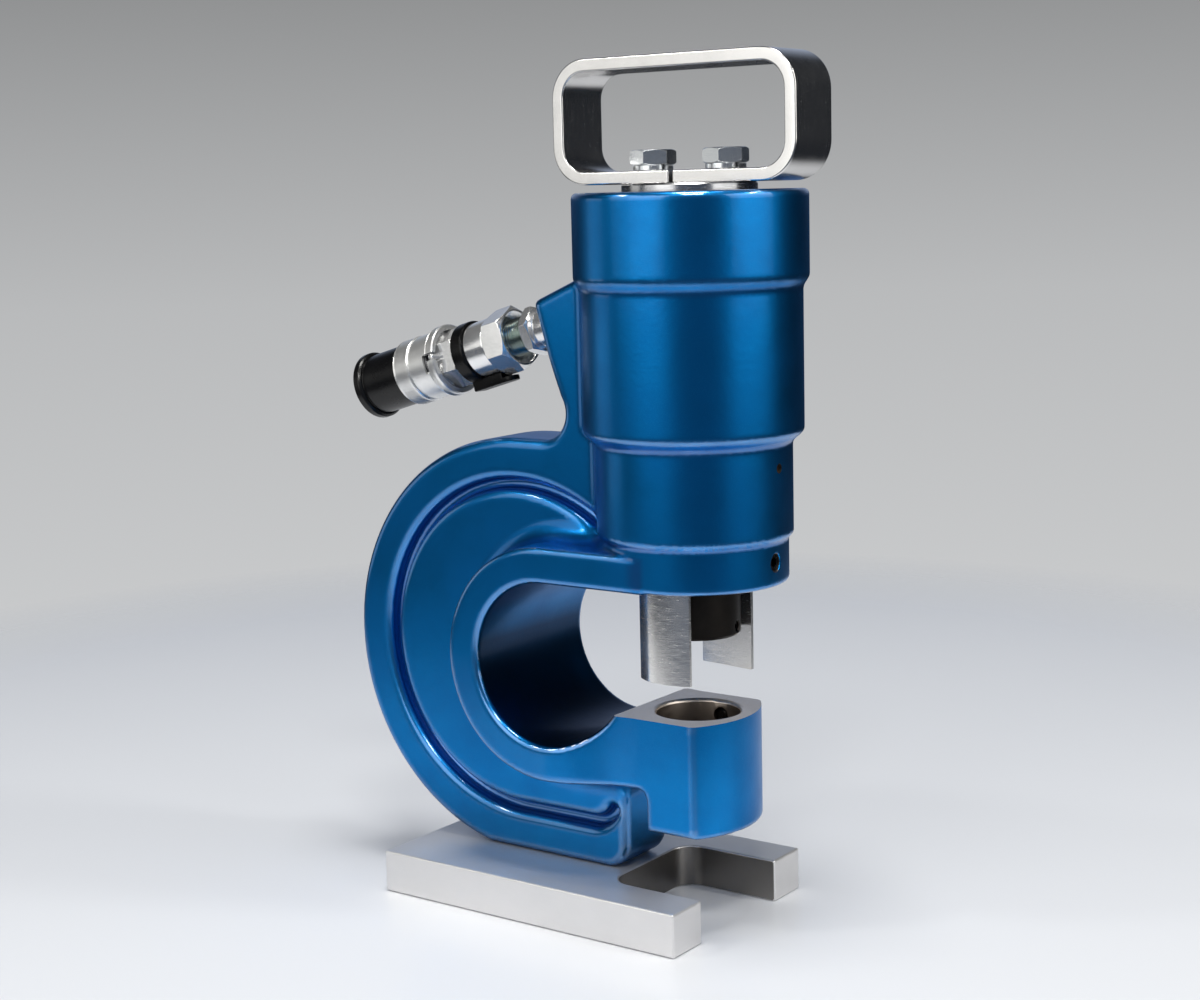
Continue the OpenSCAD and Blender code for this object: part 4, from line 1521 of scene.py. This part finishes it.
@dataclass
class PunchGear:
    """The ram, its return spring, the stripper and the grub screws."""

    ram_r: float = 21.0
    ram_low: float = 140.4
    ram_top: float = 266.0
    socket_r: float = 13.0
    socket_depth: float = 28.0
    stripper_r: float = 28.0
    stripper_low: float = 120.2
    stripper_ring: float = 172.4
    stripper_top: float = 190.4
    stripper_bore: float = 21.25
    slot_half_w: float = 21.65
    leg_half_w: float = 15.5
    stripper_turn: float = -8.0
    screw_r: float = 4.0
    stripper_screw_run: Point = (27.0, 43.0)
    die_screw_run: Point = (20.55, 29.3)
    punch_screw_run: Point = (13.3, 19.8)
    punch_screw_r: float = 2.5
    punch_screw_turn: float = 10.0
    punch_screw_rise: float = 4.5
    spring_mean_r: float = 28.5
    spring_wire: float = 6.5
    spring_turns: float = 4.5
    stroke: float = 25.0

    def ram(self) -> Shape:
        """The blackened ram with its punch socket.

        Returns:
            The ram.
        """
        low, top, radius, socket_r = self.ram_low, self.ram_top, self.ram_r, self.socket_r
        deep = low + self.socket_depth
        shape = Shape.turned([(socket_r + 0.8, low), (radius - 1.2, low), (radius, low + 1.2),
                              (radius, top), (14, top), (14, top + 10), (8, top + 10), (8, top - 30),
                              (0, top - 30), (0, deep), (socket_r, deep), (socket_r, low + 0.8),
                              (socket_r + 0.8, low)], 128)
        hole_r, mouth_r = self.punch_screw_r, self.punch_screw_r + 0.8
        hole = Shape.turned([(0, 0), (hole_r, 0), (hole_r, 20.3), (mouth_r, 21.1), (mouth_r, 26),
                             (0, 26)], 32)
        spot = self.across(low + self.punch_screw_rise, self.punch_screw_turn)
        return shape.act(hole.move(spot), Cut.REMOVE)

    def across(self, height: float, turn: float = 0.0) -> Matrix:
        """A place for a screw that points out from the axis at a height."""
        return shift(z=height) @ turn_z(turn) @ ALONG_X

    def stripper(self) -> Shape:
        """The turned stripper, with its two legs beside the ram.

        Returns:
            The stripper.
        """
        low, ring, top = self.stripper_low, self.stripper_ring, self.stripper_top
        under = low - 5
        shape = Shape.rod(self.stripper_r, low, top, 160)
        shape.act(Shape.rod(self.stripper_bore, under, top + 5, 128), Cut.REMOVE)
        slot, leg, past = self.slot_half_w, self.leg_half_w, 45
        for start, end in (((-40, -slot, under), (40, slot, ring)),
                           ((-past, -past, under), (-leg, past, ring)),
                           ((leg, -past, under), (past, past, ring))):
            shape.act(Shape.slab(start, end).move(turn_z(self.stripper_turn)), Cut.REMOVE)
        shape.act(Shape.rod(self.screw_r, 27, 33).move(self.across(STRIPPER_SCREW_Z)), Cut.REMOVE)
        return shape.round_edges(0.45, 2, 40.0, where=lambda m: m.z < ring - 1)

    def grub_screw(self, radius: float, start: float, end: float) -> Shape:
        """A socket set screw along Z, open at its upper end.

        Args:
            radius: The screw's radius.
            start: Its pointed end.
            end: Its open end.

        Returns:
            The screw.
        """
        cone = radius * 0.45
        shape = Shape.turned([(0, start), (radius - cone, start), (radius, start + cone),
                              (radius, end - 0.5), (radius - 0.5, end), (0, end)], 48)
        return shape.act(Shape.hex_bar(radius * 1.04, end - radius, end + 3), Cut.REMOVE)

    def build(self) -> None:
        """Models the moving and stripping pieces."""
        stripper_screw = self.grub_screw(self.screw_r, *self.stripper_screw_run)
        die_screw = self.grub_screw(self.screw_r, *self.die_screw_run)
        punch_screw = self.grub_screw(self.punch_screw_r, *self.punch_screw_run)
        stripper_screw.move(self.across(STRIPPER_SCREW_Z))
        die_screw.move(self.across(DIE_SCREW_Z, 90.0))
        punch_screw.move(self.across(self.ram_low + self.punch_screw_rise, self.punch_screw_turn))
        for name, shape, body, finish, slot, node in (
                ("blackened_ram", self.ram(), Body.RAM, BLACK_STEEL, "black_steel", "ram"),
                ("slotted_stripper", self.stripper(), Body.FRAME, TURNED_STEEL, "bright_steel",
                 "stripper"),
                ("stripper_set_screw", stripper_screw, Body.FRAME, BLACK_STEEL, "black_steel",
                 "stripper_screw"),
                ("die_set_screw", die_screw, Body.FRAME, BLACK_STEEL, "black_steel", "die_screw"),
                ("punch_set_screw", punch_screw, Body.RAM, BLACK_STEEL, "black_steel", "punch_screw")):
            piece(name, shape, body, (finish,), node)
        low, high = SPRING_SEAT_Z, self.ram_top
        spring = Shape.coil(self.spring_mean_r, self.spring_wire, low, high, self.spring_turns)
        made = piece("wound_return_spring", spring, Body.FRAME, (SPRING_STEEL,),
                     "return_spring")
        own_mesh(made)


@dataclass
class Coupler:
    """The inlet nipple and the quick coupler, drawn outward from the boss face."""

    seal_t: float = 1.6
    neck_end: float = 11.8
    nipple_end: float = 17.3
    body_start: float = 26.0
    hex_end: float = 39.2
    barrel_end: float = 51.9
    ring_end: float = 59.4
    guide_end: float = 73.7
    tube_end: float = 97.1
    sleeve_start: float = 69.4
    knurl_end: float = 75.0
    waist_end: float = 88.2
    sleeve_end: float = 98.8
    cap_start: float = 99.1
    hex_turn: float = 4.0
    nipple_turn: float = -14.0
    nipple_across: float = 22.0
    hex_across: float = 29.0
    flats_across: float = 26.0
    thread_r: float = 9.5
    barrel_r: float = 14.0
    sleeve_r: float = 18.2
    waist_r: float = 16.5
    front_r: float = 17.0
    pin_angle: float = -80.0
    pin_place: float = 71.2
    pin_r: float = 1.5
    notch_w: float = 3.8
    knurl_steps: int = 224
    knurl_rows: int = 14
    knurl_depth: float = 0.32
    thread_pitch: float = 1.5
    spring_wire: float = 1.6
    tail_start: float = 33.9
    tail_half_w: float = 4.5
    tail_low: float = -19.74
    tail_high: float = -17.05
    ball_z: float = 89.5
    ball_r: float = 1.65
    ball_count: int = 6
    guide_r: float = 15.0
    seat_r: float = 13.2

    # The stepped bore of the body, as radius and height pairs
    body_bore: Tuple[Point, ...] = (
        (0, 18), (13.4, 18), (13.4, 26.6), (10.6, 29.4), (9.5, 29.6), (9.5, 39), (4, 39), (4, 61.4),
        (8.5, 61.4), (8.5, 79.5), (6.2, 79.5), (6.2, 82.5), (10.4, 82.5), (10.4, 84), (11.9, 84),
        (11.9, 86), (10.4, 86), (10.4, 110), (0, 110))

    def nipple(self) -> Shape:
        """The inlet nipple with its hexagon and the thread that shows beyond it.

        Returns:
            The nipple, with its thread's faces marked for their own finish.
        """
        radius, pitch, place = self.thread_r, self.thread_pitch, self.nipple_end
        profile = [(4, -13), (7.4, -13), (8.2, -12.2), (8.2, self.seal_t), (9.8, self.seal_t), (9.8, 8.5),
                   (9.2, 10.5), (9.2, self.neck_end + 1), (radius - 1.2, place - 1)]
        while place < self.body_start + 2:
            profile += [(radius - 0.95, place + 0.2), (radius, place + pitch / 2),
                        (radius, place + pitch / 2 + 0.2)]
            place += pitch
        profile += [(radius, 38), (radius - 1, 39), (4, 39), (4, -13)]
        core = Shape.turned(profile, 72)
        bar = Shape.hex_bar(self.nipple_across, self.neck_end, self.nipple_end, self.nipple_turn)
        bar.round_edges(0.2, 2, 20.0)
        bar.act(Shape.rod(6.0, 0, 60), Cut.REMOVE)
        core.act(bar, Cut.JOIN)
        for face in core.bm.faces:
            spot = face.calc_center_median()
            narrow = math.hypot(spot.x, spot.y) < radius + 0.05
            face.material_index = int(narrow and spot.z > self.nipple_end)
        return core

    def body(self) -> Shape:
        """The coupler's body: hexagon, barrel, ring seat, flats and inner tube.

        Returns:
            The body.
        """
        radius, seat, hex_end, barrel_end = self.barrel_r, self.seat_r, self.hex_end, self.barrel_end
        ring_end, guide_end, tube_end = self.ring_end, self.guide_end, self.tube_end
        shape = Shape.turned([(0, hex_end - 4), (seat, hex_end - 4), (radius - 0.3, hex_end - 1),
                              (radius - 0.3, hex_end + 0.9), (radius, hex_end + 1.3),
                              (radius, barrel_end - 0.4), (radius - 0.4, barrel_end), (seat, barrel_end),
                              (seat, ring_end - 1), (12.6, ring_end + 1), (12.6, guide_end - 1.5),
                              (self.guide_r, guide_end - 1.4), (self.guide_r, guide_end),
                              (12.7, guide_end), (12.7, tube_end - 0.5), (12.2, tube_end), (0, tube_end)])
        hexagon = Shape.hex_bar(self.hex_across, self.body_start, hex_end, self.hex_turn, 0.7)
        flats = Shape.hex_bar(self.flats_across, ring_end, guide_end - 1.3, self.hex_turn, 0.6)
        for bar in (hexagon, flats):
            shape.act(bar.round_edges(0.3, 2, 20.0), Cut.JOIN)
        shape.act(Shape.turned(self.body_bore, 72), Cut.REMOVE)
        for index in range(self.ball_count):
            way = turn_z(index * 360 / self.ball_count) @ shift(z=self.ball_z) @ ALONG_X
            shape.act(Shape.rod(self.ball_r, 8.5, 15, 24).move(way), Cut.REMOVE)
        snap_groove = Shape.tube(11.9, 15, 95.7, 96.9)
        return shape.act(snap_groove, Cut.REMOVE)

    def spoke(self, place: float) -> Matrix:
        """A place on the coupler's side for the lock pin."""
        return turn_z(self.pin_angle) @ shift(z=place) @ ALONG_X

    def knurl(self, shape: Shape, radius: float, low: float, high: float) -> None:
        """Presses diamonds into a band by drawing in every second point.

        Args:
            shape: The turned sleeve.
            radius: The band's radius.
            low: The band's lower end.
            high: The band's upper end.
        """
        shrink = (radius - self.knurl_depth) / radius
        for vert in shape.bm.verts:
            x, y, z = vert.co
            if abs(math.hypot(x, y) - radius) > 0.01 or not low - 0.01 < z < high + 0.01:
                continue
            row = round((z - low) / (high - low) * self.knurl_rows)
            turn = round(math.atan2(y, x) / (2 * math.pi) * self.knurl_steps)
            if (row + turn) % 2:
                vert.co.x *= shrink
                vert.co.y *= shrink

    def rows(self, radius: float, band: Point) -> List[Point]:
        """The points of a knurled band, before it is pressed."""
        low, high = band
        return [(radius, low + (high - low) * k / self.knurl_rows) for k in range(self.knurl_rows + 1)]

    def sleeve(self) -> Shape:
        """The locking sleeve with two knurled bands and the lock notch.

        Returns:
            The sleeve.
        """
        start, end = self.sleeve_start, self.sleeve_end
        knurl_end, waist_end = self.knurl_end, self.waist_end
        radius, waist, front_r = self.sleeve_r, self.waist_r, self.front_r
        rear = (start + 2.0, knurl_end - 0.6)
        front = (waist_end + 1.5, end - 0.9)
        profile = [(15.4, start), (radius - 0.6, start), (radius, start + 0.5), (radius, rear[0] - 0.4)]
        profile += self.rows(radius, rear)
        profile += [(radius - 0.5, knurl_end), (waist, knurl_end), (waist, knurl_end + 0.4),
                    (waist + 0.15, knurl_end + 1.0), (waist + 0.15, waist_end - 1.6),
                    (waist - 0.35, waist_end - 1.0), (waist - 0.35, waist_end),
                    (front_r - 0.45, waist_end), (front_r, waist_end + 0.5), (front_r, front[0] - 0.4)]
        profile += self.rows(front_r, front)
        profile += [(front_r - 0.7, end), (14.2, end), (14.2, 95.7), (13, 95.7), (13, 85.8), (15.4, 85.8),
                    (15.4, start)]
        shape = Shape.turned(profile, self.knurl_steps)
        for band_r, (low, high) in ((radius, rear), (front_r, front)):
            self.knurl(shape, band_r, low + 0.3, high - 0.3)
        width, notch_end = self.notch_w, self.pin_place + self.pin_r + 4.9
        notch = Shape.slab((14, -width / 2, start - 3), (24, width / 2, notch_end))
        notch.act(Shape.slab((14, -2 * width, notch_end - width), (24, 0, notch_end)), Cut.JOIN)
        notch.round_edges(1.4, 4, where=lambda m: abs(m.x - 19) < 1)
        return shape.act(notch.move(turn_z(self.pin_angle)), Cut.REMOVE)

    def keeper(self) -> Shape:
        """The rubber ring with the strap tail that lies under the body.

        Returns:
            The ring and its tail.
        """
        inner, start, end = self.seat_r, self.barrel_end, self.ring_end
        ring = Shape.turned([(inner, start), (14.8, start), (15.5, start + 0.8), (15.5, end),
                             (inner, end), (inner, start)])
        ring.round_edges(0.9, 3)
        low, high, wide, tip = self.tail_low, self.tail_high, self.tail_half_w, self.tail_start
        tail = Shape.slab((low, -wide, tip), (high, wide, end))
        tail.round_edges(4.0, 6, where=lambda m: abs(m.z - tip) < 0.1 and abs(m.x + 18.4) < 0.5)
        root = Shape.slab((-18.0, -wide, self.hex_end + 0.8), (-14.2, wide, end))
        tail.act(root, Cut.JOIN).round_edges(0.6, 2)
        return ring.act(tail, Cut.JOIN)

    def dust_cap(self) -> Shape:
        """The moulded dust cap with its plug and flange.

        Returns:
            The cap.
        """
        start = self.cap_start
        plug = [(0, start + 11.5), (7.4, start + 11.5), (7.4, 92.1), (9.8, 92.1), (10.35, 92.7)]
        outside = [(10.35, 0), (15.2, 0), (15.5, 0.3), (15.5, 22), (15.1, 22.6), (15.1, 23.2),
                   (16.2, 23.2), (17.3, 24.2), (17.3, 27.4), (15.6, 29), (13.6, 29), (13.0, 28.3),
                   (0, 28.3)]
        shape = Shape.turned(plug + [(radius, start + along) for radius, along in outside], 128)
        return shape.round_edges(0.5, 2, 25.0, where=lambda m: m.z > start + 21)

    def springs(self) -> None:
        """Models the sleeve's and the poppet's springs, each with a mesh of its own."""
        for name, node, joint, mean, low, high, turns, travel in (
                ("wound_sleeve_spring", "sleeve_spring", "sleeve_slide", 14.05, 73.7, 85.8, 2.5, 4.5),
                ("wound_poppet_spring", "poppet_spring", "poppet_travel", 5.9, 61.4, 75.5, 4.5, 4.0)):
            spring = Shape.coil(mean, self.spring_wire, low, high, turns)
            made = piece(name, spring, Body.FRAME, (SPRING_STEEL,), node, COUPLER_PLACE)
            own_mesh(made)

    def build(self) -> None:
        """Models every piece of the coupler."""
        seal = Shape.tube(8.2, 11.0, 0, self.seal_t).round_edges(0.4, 2)
        pin = Shape.rod(self.pin_r, 11.2, 17.6, 32).round_edges(0.5, 3, where=lambda m: m.z > 17)
        pin.move(self.spoke(self.pin_place))
        fixed = Body.FRAME
        for name, shape, body, finishes, slot, node in (
                ("inlet_nipple_hex", self.nipple(), fixed, (PLATED, THREAD), "zinc", "inlet_nipple"),
                ("bonded_seal", seal, fixed, (SEAL_RUBBER,), "seal_rubber", "nipple_seal"),
                ("coupler_hex_body", self.body(), fixed, (PLATED,), "zinc", "coupler_body"),
                ("knurled_sleeve", self.sleeve(), Body.SLEEVE, (KNURLED,), "zinc", "locking_sleeve"),
                ("sleeve_lock_pin", pin, fixed, (PLATED,), "zinc", "lock_pin"),
                ("keeper_strap", self.keeper(), fixed, (RUBBER,), "black_rubber", "keeper_ring"),
                ("moulded_dust_cap", self.dust_cap(), Body.DUST_CAP, (CAP_PLASTIC,), "black_rubber",
                 "dust_cap")):
            piece(name, shape, body, finishes, node, COUPLER_PLACE)
        self.springs()


@dataclass
class InnerPieces:
    """The small CAD solids inside the cylinder and the coupler, which keep their shape."""

    finishes: Dict[str, Finish] = field(default_factory=lambda: {
        "end_cap_seal": SEAL_RUBBER, "rod_bush": BRONZE, "rod_wiper": SEAL_RUBBER,
        "vent_filter": FILTER, "piston": CAP_STEEL, "piston_screw": BLACK_STEEL,
        "piston_seal": SEAL_RUBBER, "piston_wear_band": RESIN, "coupler_poppet": PLATED,
        "socket_seal": SEAL_RUBBER, "lock_balls": PLATED, "sleeve_snap_ring": SPRING_STEEL})

    def build(self) -> None:
        """Gives each solid its finish."""
        for name, finish in self.finishes.items():
            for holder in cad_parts[name].material_slots:
                holder.material = finish.material()
            LOG.info("%s: %s", name, finish.name)


@dataclass(frozen=True)
class Softbox:
    """A soft area light that faces the punch, with its places in metres.

    The azimuth is its direction from the punch in degrees from +X, the power is in
    watts, and the aim is the height that it faces.
    """

    name: str
    azimuth: float
    distance: float
    height: float
    size: Point
    power: float
    aim: float = 0.2


@dataclass
class Studio:
    """The camera, the pale floor and the soft lights."""

    camera: Place = (0.58506, -0.78979, 0.34933)
    right: Place = (0.81082, 0.58481, -0.02387)
    up: Place = (-0.06915, 0.13622, 0.98826)
    ahead: Place = (-0.58120, 0.79965, -0.15090)
    lens: float = 60.62
    floor_r: float = 1.4
    floor_middle: Place = (-0.16, 0.20, 0.0)
    floor_fade: Point = (0.50, 0.72)
    floor_gloss: Point = (0.21, 0.25)
    floor_colour: Colour = (0.795, 0.81, 0.85)
    floor_drop: float = 0.0002
    lamp: Colour = (1.0, 0.99, 0.95)
    air_seen: Colour = (0.97, 0.985, 1.0)
    air_felt: Colour = (0.80, 0.93, 1.20)
    # Each level of the air: where it starts and ends, and the brightness at both
    low_air: Tuple[float, ...] = (-0.38, -0.05, 0.72, 0.50)
    high_air_loss: Tuple[float, ...] = (-0.05, 0.16, 0.0, 0.30)
    room: Tuple[float, ...] = (0.1, -0.8, 0.015, 0.10)
    back_wall: float = 0.40
    back_wall_edge: Point = (0.70, 0.95)
    back_wall_foot: Point = (0.0, 0.08)
    softboxes: Tuple[Softbox, ...] = (
        Softbox("left_softbox", -110.0, 1.3, 0.68, (1.4, 1.0), 4.3),
        Softbox("left_inner_softbox", -98.0, 1.3, 0.70, (0.9, 1.0), 2.6),
        Softbox("right_softbox", 5.0, 1.3, 0.68, (1.2, 1.0), 6.6),
        Softbox("left_low_wing", -160.0, 1.2, 0.28, (0.5, 0.5), 0.6),
        Softbox("left_high_light", -135.0, 1.15, 1.25, (0.15, 0.15), 2.5),
        Softbox("right_high_light", 15.0, 1.15, 1.25, (0.16, 0.16), 4.0),
        Softbox("top_softbox", -54.0, 0.15, 2.4, (0.6, 0.6), 30.0, 0.0),
        Softbox("front_high_light", -54.0, 1.2, 1.6, (0.45, 0.3), 9.5))

    def add_camera(self) -> None:
        """Sets the camera at the photograph's viewing angle."""
        data = bpy.data.cameras.new("photo_view")
        data.sensor_width = 36.0
        data.sensor_fit = "HORIZONTAL"
        data.lens = self.lens
        data.clip_start = 0.02
        data.clip_end = 100.0
        made = bpy.data.objects.new("photo_view", data)
        turn = Matrix((self.right, self.up, -Vector(self.ahead))).transposed().to_4x4()
        made.matrix_world = Matrix.Translation(self.camera) @ turn
        bpy.context.scene.collection.objects.link(made)
        bpy.context.scene.camera = made

    def add_light(self, box: Softbox) -> None:
        """Adds one soft light.

        Args:
            box: The light's place, size and power.
        """
        data = bpy.data.lights.new(box.name, "AREA")
        data.shape = "RECTANGLE"
        data.size, data.size_y = box.size
        data.energy = box.power
        data.color = self.lamp
        made = bpy.data.objects.new(box.name, data)
        angle = math.radians(box.azimuth)
        across = AXIS_X * MM + box.distance * math.cos(angle)
        place = Vector((across, box.distance * math.sin(angle), box.height))
        look = Vector((AXIS_X * MM, 0.0, box.aim)) - place
        facing = look.to_track_quat("-Z", "Y").to_matrix().to_4x4()
        made.matrix_world = Matrix.Translation(place) @ facing
        bpy.context.scene.collection.objects.link(made)

    def add_floor(self) -> None:
        """Lays the pale floor, which fades into the air far from the punch."""
        mesh = bpy.data.meshes.new("studio_floor")
        shape = bmesh.new()
        bmesh.ops.create_circle(shape, cap_ends=True, segments=96, radius=self.floor_r)
        shape.to_mesh(mesh)
        shape.free()
        shader = Shader(bpy.data.materials.new("pale_floor"))
        spot = shader.place()
        far = shader.node("ShaderNodeVectorMath", {"operation": "DISTANCE"},
                          {0: spot, 1: self.floor_middle}, out="Value")
        cloud = shader.noise(spot, 3.0, 2.0)
        mesh.materials.append(shader.surface({
            "Base Color": solid(self.floor_colour), "Specular IOR Level": 0.45,
            "Roughness": shader.level(cloud, 0.3, 0.7, *self.floor_gloss),
            "Alpha": shader.level(far, *self.floor_fade, 1.0, 0.0)}))
        made = bpy.data.objects.new("studio_floor", mesh)
        made.location.z = -self.floor_drop
        bpy.context.scene.collection.objects.link(made)

    def add_sky(self) -> None:
        """Fills the air: a pale sweep to the eye, and a dark room with a pale back to the metal."""
        shader = Shader(bpy.data.worlds.new("studio_air"))
        look = shader.node("ShaderNodeTexCoord", out="Generated")
        height = shader.node("ShaderNodeSeparateXYZ", {}, {0: look}, out="Z")
        behind = shader.node("ShaderNodeVectorMath", {"operation": "DOT_PRODUCT"},
                             {0: look, 1: (self.ahead[0], self.ahead[1], 0.0)}, out="Value")
        seen = shader.level(height, *self.low_air) - shader.level(height, *self.high_air_loss)
        wall = shader.level(behind, *self.back_wall_edge) * shader.level(height, *self.back_wall_foot)
        felt = wall * self.back_wall + shader.level(behind, *self.room)
        eye = shader.node("ShaderNodeLightPath", out="Is Camera Ray")
        air = shader.node("ShaderNodeBackground", {}, {
            "Color": shader.blend(eye, solid(self.air_felt), solid(self.air_seen)),
            "Strength": seen * eye + felt * (1.0 - eye)})
        shader.node("ShaderNodeOutputWorld", {}, {"Surface": air})
        bpy.context.scene.world = shader.owner

    def build(self) -> None:
        """Sets up everything round the punch."""
        bpy.context.scene.view_settings.view_transform = "Standard"
        self.add_camera()
        self.add_floor()
        self.add_sky()
        for box in self.softboxes:
            self.add_light(box)


def main() -> None:
    """Builds the studio and every sub-assembly in order."""
    logging.basicConfig(level=logging.INFO, format="%(name)s %(message)s")
    for part in (Studio(), CastFrame(), Base(), Head(), PunchGear(), Coupler(), InnerPieces()):
        LOG.info("building %s", type(part).__name__)
        part.build()


if __name__ == "__main__":
    main()
